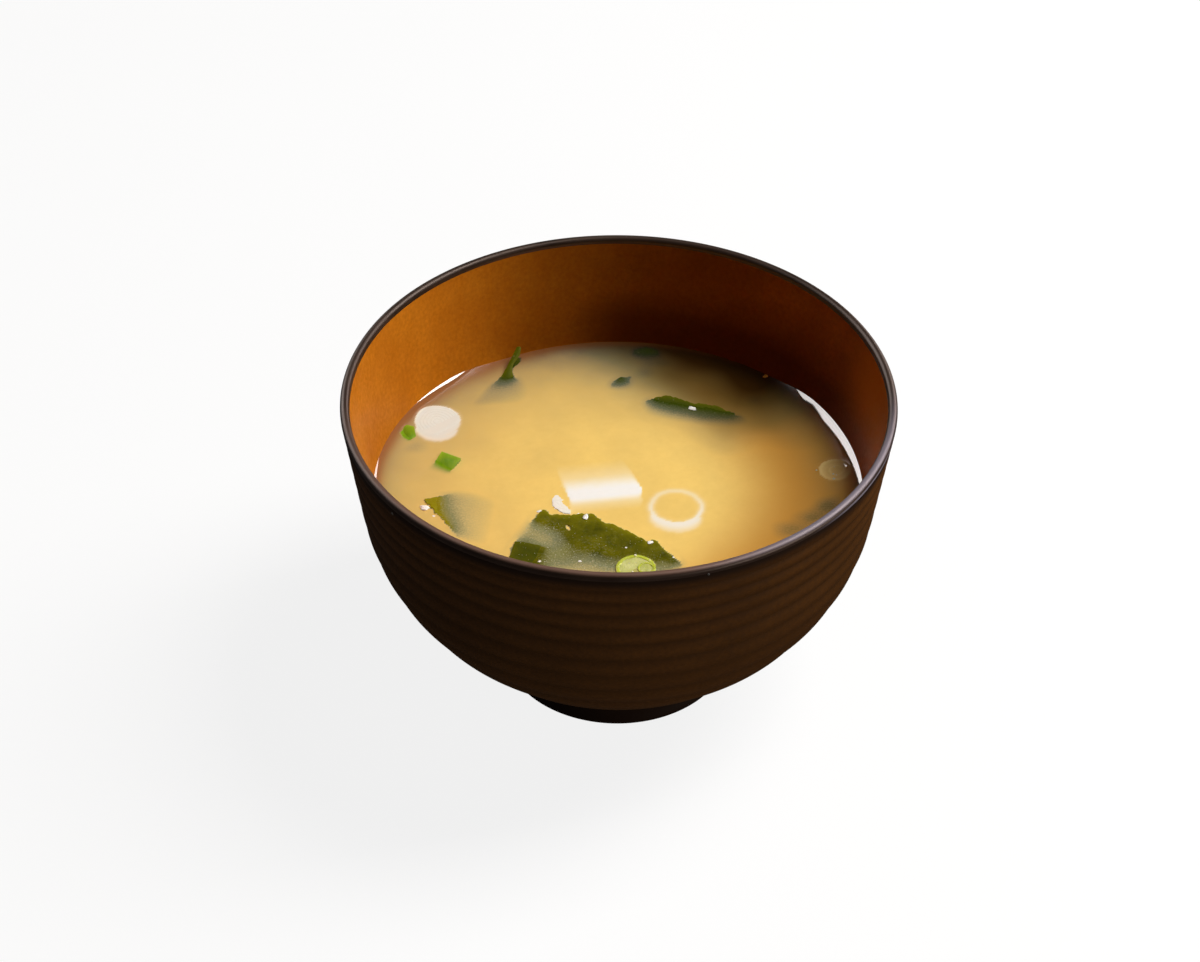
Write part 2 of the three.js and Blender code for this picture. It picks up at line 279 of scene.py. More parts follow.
onionColors = {
    "dark": (0.085, 0.26, 0.003),
    "light": (0.22, 0.36, 0.004),
    "vein": (0.36, 0.48, 0.02),
    "edge": (0.40, 0.58, 0.04),
    "grain": 28.0,              # degrees that the veins are turned
}


def onionSkinGroup():
    # bright green with fine paler lengthwise veins
    group, entry, leave = newGroup(
        "onionSkin", [("Vector", "Vector", None)], [("Color", "Color"), ("Height", "Float")])
    turned = addNode(group, "Mapping", {"Vector": entry.outputs["Vector"],
                                        "Rotation": (0.0, 0.0, math.radians(onionColors["grain"])),
                                        "Scale": (1.0, 0.12, 1.0)}).outputs["Vector"]
    veins = noiseMask(group, turned, 2200.0, 2.0, 0.5, 0.35, 0.65)
    broad = noiseMask(group, entry.outputs["Vector"], 260.0)
    green = mixColors(group, broad, onionColors["dark"], onionColors["light"])
    color = mixColors(group, multiply(group, veins, 0.22), green, onionColors["vein"])
    setInputs(group, leave, {"Color": color, "Height": veins})
    return group


softMottle = softMottleGroup()
paleDust = paleDustGroup()
wakameSkin = wakameSkinGroup()
onionSkin = onionSkinGroup()


# Bowl

bowlValues = {
    "rim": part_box("bowl")[1].x / mm,
    "height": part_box("bowl")[1].z / mm,
    "lipHalfWidth": 0.95,
    "ribs": 10,
    "topGroove": 66.0,
    "firstRib": 3.45,
    "ribGrowth": 1.095,
    "grooveDepth": 0.3,
    "ribCurve": 1.1,
    "footRadius": 25.0,
    "footWaist": 24.5,
    "footHeight": 8.0,
    "recessRadius": 21.6,
    "recessDepth": 3.4,
    "footEdge": 0.4,
    "blackDownOutside": 0.55,
    "blackDownInside": 0.45,
    "turns": 240,
    "crestColor": (0.078, 0.0276, 0.0038),
    "grooveColor": (0.044, 0.0162, 0.0026),
    "speckleColor": (0.018, 0.0072, 0.0020),
    # the lip's black paint fading down the wall, with painted shade under the lip
    "underLipBlackAndShade": (0.014, 0.0065, 0.0032),
    "footColor": (0.010, 0.0040, 0.0016),
    "lipDark": (0.017, 0.0085, 0.0050),
    "lipLight": (0.030, 0.016, 0.010),
    # painted highlight along the top of the lip at the front
    "lipPaintedHighlight": (0.150, 0.080, 0.058),
    # painted cool sheen along the top of the lip at the front right
    "lipPaintedSheen": (0.185, 0.165, 0.205),
    "insideColor": (0.74, 0.240, 0.012),
    "insideDark": (0.59, 0.172, 0.0065),
    "insideGrain": (0.34, 0.080, 0.002),
    "insideStreak": (0.66, 0.25, 0.03),
    # painted shade on the lacquer inside
    "insidePaintedShade": (0.10, 0.018, 0.0005),
    # painted light high inside at the right
    "insidePaintedLight": (1.0, 0.37, 0.004),
    # where light and shade are painted on the lacquer: degrees round the bowl of the middle, its flat part
    # and its reach
    "paintedShadeRight": (58, 28, 62),
    "paintedShadeBack": (88, 16, 50),
    "paintedLightRight": (-10, 20, 40),
    "paintedHighlightLip": (-98, 35, 85),
    "paintedSheenLip": (-36, 12, 42),
}
lipCentre = bowlValues["height"] - bowlValues["lipHalfWidth"]


def wallShape(rim, floor, shoulder, flare):
    # a quarter ellipse from the floor to the shoulder, opened out evenly up to the rim
    return {"radius": rim - flare * (lipCentre - floor), "floor": floor,
            "shoulder": shoulder, "flare": flare}


outsideWall = wallShape(bowlValues["rim"], 2.1, 45.9, 0.138)
hollowWall = wallShape(bowlValues["rim"] - 2 * bowlValues["lipHalfWidth"], 9.0, 46.0, 0.165)


def wallRadius(wall, z):
    below = max(0.0, (wall["shoulder"] - z) / (wall["shoulder"] - wall["floor"]))
    return wall["radius"] * math.sqrt(max(0.0, 1 - below ** 2)) + wall["flare"] * (z - wall["floor"])


def wallPoint(wall, z, offset=0.0):
    # point of a wall at height z, moved out along its normal by offset
    step = 0.02
    slope = (wallRadius(wall, z + step) - wallRadius(wall, z - step)) / (2 * step)
    length = math.hypot(1, slope)
    return wallRadius(wall, z) + offset / length, z - offset * slope / length


def grooveHeights():
    heights = [bowlValues["topGroove"]]
    width = bowlValues["firstRib"]
    for _ in range(bowlValues["ribs"]):
        heights.append(heights[-1] - width)
        width *= bowlValues["ribGrowth"]
    return heights[::-1]


grooves = grooveHeights()


def ribCrest(z):
    # 0 in a groove, 1 on the crown of a rib
    if z >= grooves[-1]:
        share = min(0.5, (z - grooves[-1]) / bowlValues["firstRib"])
    elif z <= grooves[0]:
        share = min(0.5, (grooves[0] - z) / (grooves[1] - grooves[0]))
    else:
        index = next(i for i in range(len(grooves) - 1) if grooves[i + 1] > z)
        share = (z - grooves[index]) / (grooves[index + 1] - grooves[index])
    return math.sin(math.pi * share) ** bowlValues["ribCurve"]


def ribbedPoint(z):
    return wallPoint(outsideWall, z, -bowlValues["grooveDepth"] * (1 - ribCrest(z)))


def footOutline():
    edge = bowlValues["footEdge"]
    recess = bowlValues["recessRadius"]
    outer = bowlValues["footRadius"]
    ceiling = bowlValues["recessDepth"]
    points = [(0.0, ceiling), (recess * 0.5, ceiling)]
    points += arc(recess - edge, ceiling - edge, edge, 90, 0, 4)
    points += arc(recess + 2 * edge, edge, edge, 180, 270, 4)
    points += arc(outer - edge, edge, edge, 270, 360, 4)
    wallFoot = wallPoint(outsideWall, bowlValues["footHeight"])[0]
    for i in range(1, 9):       # the waist, a shallow curve up to the wall
        share = i / 8
        r = outer * (1 - share) + wallFoot * share
        sag = (outer + wallFoot) / 2 - bowlValues["footWaist"]
        height = edge + (bowlValues["footHeight"] - edge) * share
        points.append((r - sag * math.sin(math.pi * share), height))
    return points


def wallOutline():
    rows = np.linspace(bowlValues["footHeight"] + 0.6, grooves[0], 6)[:-1].tolist()
    for low, high in zip(grooves, grooves[1:]):
        rows += [low + (high - low) * i / 12 for i in range(12)]
    rows += np.linspace(grooves[-1], lipCentre - bowlValues["blackDownOutside"], 7)[:-1].tolist()
    rows += np.linspace(lipCentre - bowlValues["blackDownOutside"], lipCentre, 5)[:-1].tolist()
    return [ribbedPoint(z) for z in rows]


def hollowOutline():
    blackEnd = lipCentre - bowlValues["blackDownInside"]
    rows = np.linspace(lipCentre, blackEnd, 4)[1:].tolist()
    rows += np.linspace(blackEnd, hollowWall["shoulder"], 18)[1:].tolist()
    depth = hollowWall["shoulder"] - hollowWall["floor"]
    rows += [hollowWall["shoulder"] - depth * math.sin(math.pi / 2 * i / 16) for i in range(1, 16)]
    return [wallPoint(hollowWall, z) for z in rows] + [(0.0, hollowWall["floor"])]


def lacquerOutside():
    material, tree, shader = newMaterial("lacquerOutside", {
        "Roughness": 0.5, "Specular IOR Level": 0.07})
    point = objectPoint(tree)
    mottle = placeGroup(tree, softMottle, {"Vector": point, "Fine Scale": 900.0, "Blotch Scale": 60.0})
    height = axisOf(tree, point, "Z")
    wearAndPaintedLight = multiply(tree, pointValue(tree, "ribCrest"), rescale(tree, mottle["Blotch"], 0, 1, 0.45, 1.0))
    # painted light: the worn crests show brighter higher up the wall and darker low down
    strength = rescale(tree, height, 0.034, 0.062, 0.52, 1.0)
    color = mixColors(tree, multiply(tree, wearAndPaintedLight, strength), bowlValues["grooveColor"],
                      bowlValues["crestColor"])
    speckled = mixColors(tree, multiply(tree, mottle["Fine"], 0.35), color, bowlValues["speckleColor"])
    # the lip's black paint fading down the wall, with painted shade under the lip
    underLipBlackAndShade = rescale(tree, height, 0.0655, 0.0690, smooth=True)
    shaded = mixColors(tree, underLipBlackAndShade, speckled, bowlValues["underLipBlackAndShade"])
    foot = rescale(tree, height, 0.0075, 0.013, 1.0, 0.0, smooth=True)
    setInputs(tree, shader, {
        "Base Color": mixColors(tree, foot, shaded, bowlValues["footColor"]),
        "Roughness": rescale(tree, mottle["Fine"], 0, 1, 0.46, 0.58),
        "Normal": bumpNormal(tree, mottle["Fine"], 0.25, 0.00006)})
    return material


def lacquerLip():
    material, tree, shader = newMaterial("lacquerLip", {
        "Roughness": 0.42, "Specular IOR Level": 0.42, "Specular Tint": (1.0, 0.80, 0.70, 1.0)})
    point = objectPoint(tree)
    mottle = placeGroup(tree, softMottle, {"Vector": point, "Fine Scale": 1500.0, "Blotch Scale": 90.0})
    color = mixColors(tree, mottle["Blotch"], bowlValues["lipDark"], bowlValues["lipLight"])
    # painted highlight: brown along the top of the lip at the front
    wearAndPaintedLight = mixColors(tree, pointValue(tree, "paintedShadeAndHighlight"), color, bowlValues["lipPaintedHighlight"])
    setInputs(tree, shader, {
        # painted cool sheen along the top of the lip at the front right
        "Base Color": mixColors(tree, pointValue(tree, "paintedLightAndSheen"), wearAndPaintedLight, bowlValues["lipPaintedSheen"]),
        "Roughness": rescale(tree, mottle["Blotch"], 0, 1, 0.38, 0.48)})
    return material


def lacquerInside():
    material, tree, shader = newMaterial("lacquerInside", {
        "Roughness": 0.5, "Specular IOR Level": 0.06})
    point = objectPoint(tree)
    mottle = placeGroup(tree, softMottle, {"Vector": point, "Fine Scale": 1100.0, "Blotch Scale": 75.0})
    streakPoint = addNode(tree, "Mapping", {"Vector": point, "Scale": (1.0, 1.0, 0.16)}).outputs["Vector"]
    streaks = noiseMask(tree, streakPoint, 420.0, 3.0, 0.55)
    color = mixColors(tree, mottle["Blotch"], bowlValues["insideDark"], bowlValues["insideColor"])
    grained = mixColors(tree, multiply(tree, mottle["Fine"], 0.42), color, bowlValues["insideGrain"])
    whole = mixColors(tree, multiply(tree, streaks, 0.10), grained, bowlValues["insideStreak"])
    # painted shade low down at the far right and a little along the back
    paintedShadeAndHighlight = mixColors(tree, pointValue(tree, "paintedShadeAndHighlight"), whole, bowlValues["insidePaintedShade"])
    # painted light high up inside at the right
    paintedLight = multiply(tree, pointValue(tree, "paintedLightAndSheen"), 0.85)
    setInputs(tree, shader, {
        "Base Color": mixColors(tree, paintedLight, paintedShadeAndHighlight, bowlValues["insidePaintedLight"]),
        "Roughness": rescale(tree, mottle["Fine"], 0, 1, 0.38, 0.5),
        "Normal": bumpNormal(tree, mottle["Fine"], 0.2, 0.00005)})
    return material


def aroundBowl(point):
    return math.degrees(math.atan2(point.y, point.x))


def upLip(point):
    # 0 at the middle of the lip, 1 on its top
    return (point.z - lipCentre) / bowlValues["lipHalfWidth"]


def paintedShadeAndHighlightShare(point):
    # painted highlight, brown along the top of the lip at the front, and painted shade on the lacquer inside,
    # low down at the far right and a little along the back
    around = aroundBowl(point)
    if point.z > lipCentre:
        return max(0.0, upLip(point) - 0.6) / 0.4 * bump(around, *bowlValues["paintedHighlightLip"])
    low = min(1.0, max(0.0, (66.0 - point.z) / 14.0))
    right = bump(around, *bowlValues["paintedShadeRight"])
    back = bump(around, *bowlValues["paintedShadeBack"])
    return max(0.85 * low * right, 0.40 * back)


def paintedLightAndSheenShare(point):
    # a painted cool sheen along the top of the lip at the front right, and painted light high inside at the
    # right
    around = aroundBowl(point)
    if point.z < lipCentre:
        return bump(point.z, 70, 8, 22) * bump(around, *bowlValues["paintedLightRight"])
    return bump(upLip(point), 1.0, 0.1, 0.5) * bump(around, *bowlValues["paintedSheenLip"])


def bump(value, middle, flat, reach):
    # 1 within flat of the middle, falling smoothly to 0 at reach
    share = min(1.0, max(0.0, (reach - abs(value - middle)) / (reach - flat)))
    return share * share * (3 - 2 * share)


def buildBowl():
    half = bowlValues["lipHalfWidth"]
    lip = arc(bowlValues["rim"] - half, lipCentre, half, 0, 180, 16)
    bm = bmesh.new()
    spinProfile(bm, footOutline() + wallOutline() + lip + hollowOutline(), bowlValues["turns"])
    crest = bm.verts.layers.float.new("ribCrest")
    paintedShadeAndHighlight = bm.verts.layers.float.new("paintedShadeAndHighlight")
    paintedLightAndSheen = bm.verts.layers.float.new("paintedLightAndSheen")
    for vert in bm.verts:
        r, z = math.hypot(vert.co.x, vert.co.y), vert.co.z
        onWall = z > bowlValues["footHeight"] and abs(r - wallRadius(outsideWall, z)) < 1.0
        vert[crest] = ribCrest(z) if onWall else 1.0
        vert[paintedShadeAndHighlight] = paintedShadeAndHighlightShare(vert.co)
        vert[paintedLightAndSheen] = paintedLightAndSheenShare(vert.co)
    for face in bm.faces:
        middle = face.calc_center_median()
        r, z = math.hypot(middle.x, middle.y), middle.z
        midWall = (wallRadius(outsideWall, z) + wallRadius(hollowWall, z)) / 2
        inside = r < midWall and z > hollowWall["floor"] - 0.1
        black = bowlValues["blackDownInside"] if inside else bowlValues["blackDownOutside"]
        face.material_index = 1 if z > lipCentre - black else 2 if inside else 0
    addPiece("lacquerBowl", bm, [lacquerOutside(), lacquerLip(), lacquerInside()], ["bowl"])
    print("bowl turned")


buildBowl()


# Garnish. What lies in the soup is also kept as ray trees, so that the soup can show it through.

sunkShapes = {"leaf": [], "tofu": [], "leek": [], "onion": [], "slice": []}
sunkHollows = []        # middle and radius of rings whose far inner wall stays hidden


def keepShape(kind, bm):
    corners = np.array([vert.co[:] for vert in bm.verts])
    sunkShapes[kind].append((BVHTree.FromBMesh(bm), corners.min(0), corners.max(0)))


def curvePoint(points, share):
    # centripetal Catmull-Rom curve through the points
    place = share * (len(points) - 1)
    index = min(int(place), len(points) - 2)
    along = place - index
    here, ahead = Vector(points[index]), Vector(points[index + 1])
    before = Vector(points[index - 1]) if index > 0 else 2 * here - ahead
    after = Vector(points[index + 2]) if index + 2 < len(points) else 2 * ahead - here
    first, middle, last = (max(1e-4, math.sqrt((b - a).length))
                           for a, b in ((before, here), (here, ahead), (ahead, after)))
    leaving = middle * ((here - before) / first - (ahead - before) / (first + middle)
                        + (ahead - here) / middle)
    coming = middle * ((ahead - here) / middle - (after - here) / (middle + last)
                       + (after - ahead) / last)
    return (here + leaving * along + (3 * (ahead - here) - 2 * leaving - coming) * along ** 2
            + (2 * (here - ahead) + leaving + coming) * along ** 3)


def buildSheet(sheet, kind):
    # a thin wavy piece between a far and a near edge, with heights given from the soup level
    along, across = sheet["cells"]
    bm = bmesh.new()
    bmesh.ops.create_grid(bm, x_segments=along, y_segments=across, size=0.5)
    edge = bm.verts.layers.float.new("edge")
    shade = bm.verts.layers.float.new("shade")
    farLine = [curvePoint(sheet["far"], i / along) for i in range(along + 1)]
    nearLine = [curvePoint(sheet["near"], i / along) for i in range(along + 1)]
    for vert in bm.verts:
        share, over = vert.co.x + 0.5, 0.5 - vert.co.y
        index = round(share * along)
        start, end = farLine[index], nearLine[index]
        point = start.lerp(end, over)
        point.z = start.z + (end.z - start.z) * over ** sheet.get("sag", 1.0)
        width = (end - start).length
        taper = min(1.0, 12 * min(share, 1 - share))
        for side, fade, seed in (("jag", (1 - over) ** 3 * taper, 3.1), ("nearJag", over ** 3 * taper, 5.3)):
            jag = wobble(point, 1.5, seed) + 0.6 * wobble(point, 0.6, seed + 5)
            point.xy -= sheet.get(side, 0.0) * jag * fade * (end - start).xy.normalized()
        point.z += soupLevel + sheet.get("arch", 0.0) * math.sin(math.pi * over)
        for x, y, reach, depth in sheet.get("dips", ()):
            point.z -= depth * math.exp(-((point.x - x) ** 2 + (point.y - y) ** 2) / reach ** 2)
        frill = math.exp(-over * width / 2.5)
        point.z += sheet.get("ruffle", 0.1) * (wobble(point, 4.5, 1.2) + frill * wobble(point, 2.2, 5.6))
        sides = min(share, 1 - share) * (farLine[-1] - farLine[0]).length
        nearest = min(over * width, (1 - over) * width, sides)
        vert[edge] = math.exp(-max(0.0, nearest) / 0.95)
        vert[shade] = sheet.get("shade", 0.0)
        vert.co = point
    for hole in sheet.get("holes", ()):
        cutHole(bm, hole)
    bmesh.ops.solidify(bm, geom=bm.faces[:], thickness=sheet["thickness"])
    bmesh.ops.translate(bm, verts=bm.verts, vec=(0, 0, sheet["thickness"] / 2))
    bmesh.ops.recalc_face_normals(bm, faces=bm.faces)
    keepShape(kind, bm)
    return bm


def cutHole(bm, hole):
    # an oval hole of half sizes a, b, with its edge drawn onto the oval
    x, y, a, b, turn = hole
    cos, sin = math.cos(math.radians(turn)), math.sin(math.radians(turn))

    def ovalPlace(point):
        dx, dy = point.x - x, point.y - y
        return (dx * cos + dy * sin) / a, (dy * cos - dx * sin) / b

    gone = [face for face in bm.faces if math.hypot(*ovalPlace(face.calc_center_median())) < 1]
    bmesh.ops.delete(bm, geom=gone, context="FACES")
    for vert in bm.verts:
        u, v = ovalPlace(vert.co)
        far = math.hypot(u, v)
        if vert.is_boundary and 0.3 < far < 1.6:
            vert.co.x = x + (u * a * cos - v * b * sin) / far
            vert.co.y = y + (u * a * sin + v * b * cos) / far


wakameValues = {
    "thickness": 0.2,
    "gloss": 0.42,
    "leaves": {
        "frontLeaf": {
            "node": "wakame_front", "cells": (230, 84), "jag": 0.5, "ruffle": 0.12, "sag": 2.3,
            "far": [(-19.9, -14.8, -0.55), (-17.9, -11, -0.05), (-16.1, -8.2, 0.2), (-15.4, -7.5, 0.22),
                    (-14.1, -8.9, 0.22), (-11, -9.2, 0.22), (-8.2, -8.8, 0.22), (-5.4, -9, 0.22),
                    (-2.9, -11.4, 0.22), (-0.9, -12.1, 0.2), (1.9, -14.1, 0.2), (4.6, -16.1, 0.2),
                    (6.1, -17.4, 0.2), (7.5, -16.9, 0.2), (9.6, -19.8, 0.15), (13, -23.6, -0.25)],
            "near": [(-22.4, -20.5, -0.75), (-20, -24.5, -0.9), (-13, -27.5, -0.95), (-6, -28.5, -0.95),
                     (0, -29, -1), (6, -29, -1.1), (10, -27.6, -1), (13.4, -25.4, -0.8)],
            "dips": [(-18, -13.8, 3.4, 0.5), (-14.4, -16.7, 3.7, 0.8), (-6, -25, 4.0, 0.15)],
            "holes": [(-10.3, -13.2, 0.5, 1.0, 24)],
        },
        "frontFlap": {
            "cells": (90, 50), "jag": 0.12, "ruffle": 0.06, "shade": 0.7,
            "far": [(-21.2, -17.9, 0.16), (-19.2, -18.2, 0.18), (-16.9, -18.8, 0.1), (-15, -19.2, -0.12),
                    (-12.8, -20, -0.6), (-10.4, -21.6, -1.3)],
            "near": [(-22.2, -23, 0.15), (-20, -25, 0.1), (-17.8, -26.2, -0.04), (-15.2, -27, -0.35),
                     (-12.6, -27.4, -0.8), (-10.2, -27.8, -1.4)],
        },
        "leftLeaf": {
            "node": "wakame_left", "cells": (110, 60), "jag": 0.3, "nearJag": 1.2, "ruffle": 0.1, "sag": 2.4,
            "far": [(-40.7, -4.4, 0.15), (-38.7, -3.7, 0.05), (-36.5, -2.8, -0.3), (-33.8, -2.2, -0.85),
                    (-30, -2.8, -1.15), (-26, -4.5, -1.6)],
            "near": [(-40.5, -5.2, 0.12), (-38.8, -7.3, 0.12), (-37.5, -9.6, 0.1), (-35.8, -12.2, 0.04),
                     (-32, -16.8, -0.75), (-27.5, -18.6, -1.5)],
        },
        "strandLeaf": {
            "node": "wakame_strand", "cells": (90, 24), "arch": 0.15, "jag": 0.1, "ruffle": 0.08,
            "far": [(-32, 28.2, -1.25), (-28.9, 34, -0.88), (-26, 38.6, 0.1), (-24.9, 41, 0.9),
                    (-23.7, 43.6, 2), (-22.8, 45.4, 3)],
            "near": [(-20.5, 29.8, -1.65), (-21.1, 35, -1.12), (-23.5, 38.9, 0.1), (-23.6, 41.2, 1),
                     (-22.2, 43.6, 2.1), (-21.9, 45.2, 2.9)],
        },
        "backLeaf": {
            "node": "wakame_back", "cells": (30, 16), "arch": 0.25, "jag": 0.15,
            "far": [(3.2, 48.8, -0.45), (6, 49.6, -0.25), (8.8, 48.6, -0.45)],
            "near": [(3, 46.4, -0.8), (6, 45.5, -0.9), (9, 46.2, -0.8)],
        },
        "smallLeaf": {
            "node": "wakame_small", "cells": (26, 22), "arch": 0.15, "jag": 0.2,
            "far": [(-1.5, 36.6, -0.5), (0.5, 38.6, -0.15), (2.6, 38.8, -0.35)],
            "near": [(-1.8, 34.8, -0.6), (0.4, 34.6, -0.8), (2.5, 35.6, -0.9)],
        },
        "ridgeLeaf": {
            "node": "wakame_ridge", "cells": (110, 30), "jag": 0.55, "sag": 1.1, "ruffle": 0.16,
            "far": [(6, 30.1, -0.3), (9.1, 31.5, 0.18), (13, 30.9, 0.25), (16.1, 29.3, 0.2),
                    (20.5, 28.6, 0.22), (24.3, 26.5, 0.05), (27, 24.9, -0.5)],
            "near": [(6.5, 26, -1.3), (10, 24.8, -1.1), (14, 23.6, -0.98), (18.4, 22.7, -1),
                     (21.5, 22.3, -1.05), (25, 22.3, -1.15), (28, 23.1, -1.3)],
        },
    },
}


def wakameMaterial():
    material, tree, shader = newMaterial("wakame", {
        "Roughness": wakameValues["gloss"], "Specular IOR Level": 0.04})
    point = objectPoint(tree)
    skin = placeGroup(tree, wakameSkin, {"Vector": point, "Edge": pointValue(tree, "edge")})
    setInputs(tree, shader, {
        "Base Color": mixColors(tree, pointValue(tree, "shade"), skin["Color"], wakameColors["shade"]),
        "Normal": bumpNormal(tree, skin["Height"], 0.5, 0.0002)})
    return material


def buildWakame():
    material = wakameMaterial()
    for name, leaf in wakameValues["leaves"].items():
        bm = buildSheet({**leaf, "thickness": wakameValues["thickness"]}, "leaf")
        addPiece(name, bm, [material], [leaf["node"]] if "node" in leaf else ())
    print("wakame laid")


buildWakame()


onionValues = {
    "thickness": 0.9,
    "leaves": {
        "onionSquare": {
            "node": "onion_square", "cells": (34, 34), "arch": 0.3, "ruffle": 0.05,
            "far": [(-37.9, 11.2, 0.1), (-33.7, 8.6, 0.35)],
            "near": [(-40.2, 6.0, -1.5), (-36.0, 4.5, -1.0)],
        },
        "onionBit": {
            "node": "onion_bit", "cells": (24, 18), "arch": 0.3, "ruffle": 0.08,
            "far": [(-47.2, 17.4, -0.3), (-46.1, 19.5, 0.6), (-44.3, 18.9, 0.8)],
            "near": [(-46.6, 15.8, -1.2), (-45.3, 15.2, -0.7), (-43.8, 16.7, -0.1)],
        },
    },
}


def onionMaterial():
    material, tree, shader = newMaterial("onionGreen", {"Roughness": 0.3, "Specular IOR Level": 0.2})
    point = objectPoint(tree)
    skin = placeGroup(tree, onionSkin, {"Vector": point})
    edge = multiply(tree, pointValue(tree, "edge"), 0.5)
    setInputs(tree, shader, {
        "Base Color": mixColors(tree, edge, skin["Color"], onionColors["edge"]),
        "Normal": bumpNormal(tree, skin["Height"], 0.2, 0.00008)})
    return material


def buildOnionLeaves():
    material = onionMaterial()
    for name, leaf in onionValues["leaves"].items():
        bm = buildSheet({**leaf, "thickness": onionValues["thickness"]}, "onion")
        addPiece(name, bm, [material], [leaf["node"]])
    print("onion leaf laid")


buildOnionLeaves()


# Tofu

tofuValues = {
    "corner": (-10.3, -3.5),
    "width": 16.0,
    "depth": 12.5,
    "height": 9.7,
    "round": 0.5,
    "turn": 9.7,
    "lean": 8.0,
    "askew": 0.17,
    "above": 0.12,
    "cuts": 54,
    "pits": 0.09,
    "color": (0.98, 0.95, 0.88),
    "blotchColor": (0.95, 0.90, 0.80),
    "grainColor": (0.80, 0.70, 0.52),
    "crumb": {
        "cells": (90, 24), "thickness": 0.3, "jag": 0.5, "nearJag": 0.25, "ruffle": 0.05,
        "far": [(-12.8, -2.7, 0.02), (-12.2, -3.6, 0.06), (-11.6, -5.4, 0.06), (-10.9, -6.7, 0.05),
                (-9.9, -7.6, 0.02)],
        "near": [(-13.1, -2.6, 0.02), (-13.9, -4.5, 0.04), (-12.9, -6.9, 0.04), (-11.6, -8.4, 0.03),
                 (-9.9, -8.8, 0.02)],
    },
}


def tofuMaterial(name, softness):
    material, tree, shader = newMaterial(name, {
        "Roughness": 0.3, "IOR": 1.38, "Subsurface Weight": softness,
        "Subsurface Radius": (0.003, 0.0024, 0.0014), "Subsurface Scale": 1.0})
    point = objectPoint(tree)
    mottle = placeGroup(tree, softMottle, {"Vector": point, "Fine Scale": 1500.0, "Blotch Scale": 220.0})
    color = mixColors(tree, mottle["Blotch"], tofuValues["blotchColor"], tofuValues["color"])
    grain = multiply(tree, mottle["Fine"], 0.15)
    setInputs(tree, shader, {
        "Base Color": mixColors(tree, grain, color, tofuValues["grainColor"]),
        "Normal": bumpNormal(tree, mottle["Fine"], 0.4, 0.00012)})
    return material


def buildTofu():
    width, depth, height = tofuValues["width"], tofuValues["depth"], tofuValues["height"]
    rounding = tofuValues["round"]
    bm = bmesh.new()
    bmesh.ops.create_cube(bm, size=2.0)
    bmesh.ops.subdivide_edges(bm, edges=bm.edges, cuts=tofuValues["cuts"], use_grid_fill=True)
    half = Vector((width / 2, depth / 2, height / 2))
    core = half - Vector((rounding, rounding, rounding))
    for vert in bm.verts:       # cube to a box with rounded edges and small pits
        point = Vector(vert.co[i] * half[i] for i in range(3))
        inner = Vector(max(-core[i], min(core[i], point[i])) for i in range(3))
        out = (point - inner).normalized()
        pit = tofuValues["pits"] * (min(0.0, wobble(point, 0.9, 4.0)) + 0.5 * wobble(point, 2.4, 2.0))
        vert.co = inner + out * (rounding + pit)
    bmesh.ops.translate(bm, verts=bm.verts, vec=(width / 2, depth / 2, -height / 2))
    skew = Matrix.Identity(4)
    skew[0][1] = -tofuValues["askew"]
    lean = Matrix.Rotation(math.radians(-tofuValues["lean"]), 4, "X")
    turn = Matrix.Rotation(math.radians(tofuValues["turn"]), 4, "Z")
    place = Matrix.Translation((*tofuValues["corner"], soupLevel + tofuValues["above"]))
    bmesh.ops.transform(bm, matrix=place @ turn @ lean @ skew, verts=bm.verts)
    keepShape("tofu", bm)
    addPiece("tofuCube", bm, [tofuMaterial("tofu", 0.25)], ["tofu"])
    crumb = buildSheet(tofuValues["crumb"], "tofu")
    addPiece("tofuCrescent", crumb, [tofuMaterial("thinTofu", 0.0)], ["tofu_crumb"])
    print("tofu cut")


buildTofu()


# Rounds of leek and spring onion

leekValues = {
    "disc": {"place": (-39.3, 22.1), "radius": 4.9, "top": 0.2, "thickness": 2.8, "edge": 0.45,
             "long": 1.06, "tip": (3.3, 3.3), "skins": 6},
    "ring": {"place": (12.3, -6.0), "radius": 5.8, "wall": 0.95, "top": -0.22, "thickness": 3.4,
             "tip": (-1.6, 0.0)},
    "white": (0.76, 0.77, 0.70),
    "skinColor": (0.60, 0.57, 0.45),
    "blotchColor": (0.86, 0.86, 0.78),
    "crease": (0.2, 0.018),     # how much a crease shows, and how deep it is
}
sliceValues = {
    # inner: place, radius and wall of the small ring within
    "onionSliceFront": {"node": "onion_slice_front", "place": (3.9, -26.0), "radius": 4.15, "wall": 0.85,
                        "top": 0.3, "thickness": 0.9, "film": 0.5, "filmDown": 0.16,
                        "inner": (2.05, 0.2, 1.8, 0.52)},
    "onionSliceRight": {"node": "onion_slice_right", "place": (46.3, 6.7), "radius": 3.5, "wall": 0.75,
                        "top": -0.02, "thickness": 1.5, "film": 0.5, "filmDown": 0.3,
                        "inner": (0.3, -0.2, 1.7, 0.4)},
}
sliceColors = {
    "flesh": (0.50, 0.53, 0.13),
    "fleshLight": (0.70, 0.70, 0.28),
    "skin": (0.50, 0.58, 0.010),
}


def ringOutline(radius, wall, top, thickness, corner):
    inner = radius - wall
    low = top - thickness
    return (arc(radius - corner, top - corner, corner, 0, 90, 4)
            + arc(inner + corner, top - corner, corner, 90, 180, 4)
            + arc(inner + corner, low + corner, corner, 180, 270, 2)
            + arc(radius - corner, low + corner, corner, 270, 360, 2))


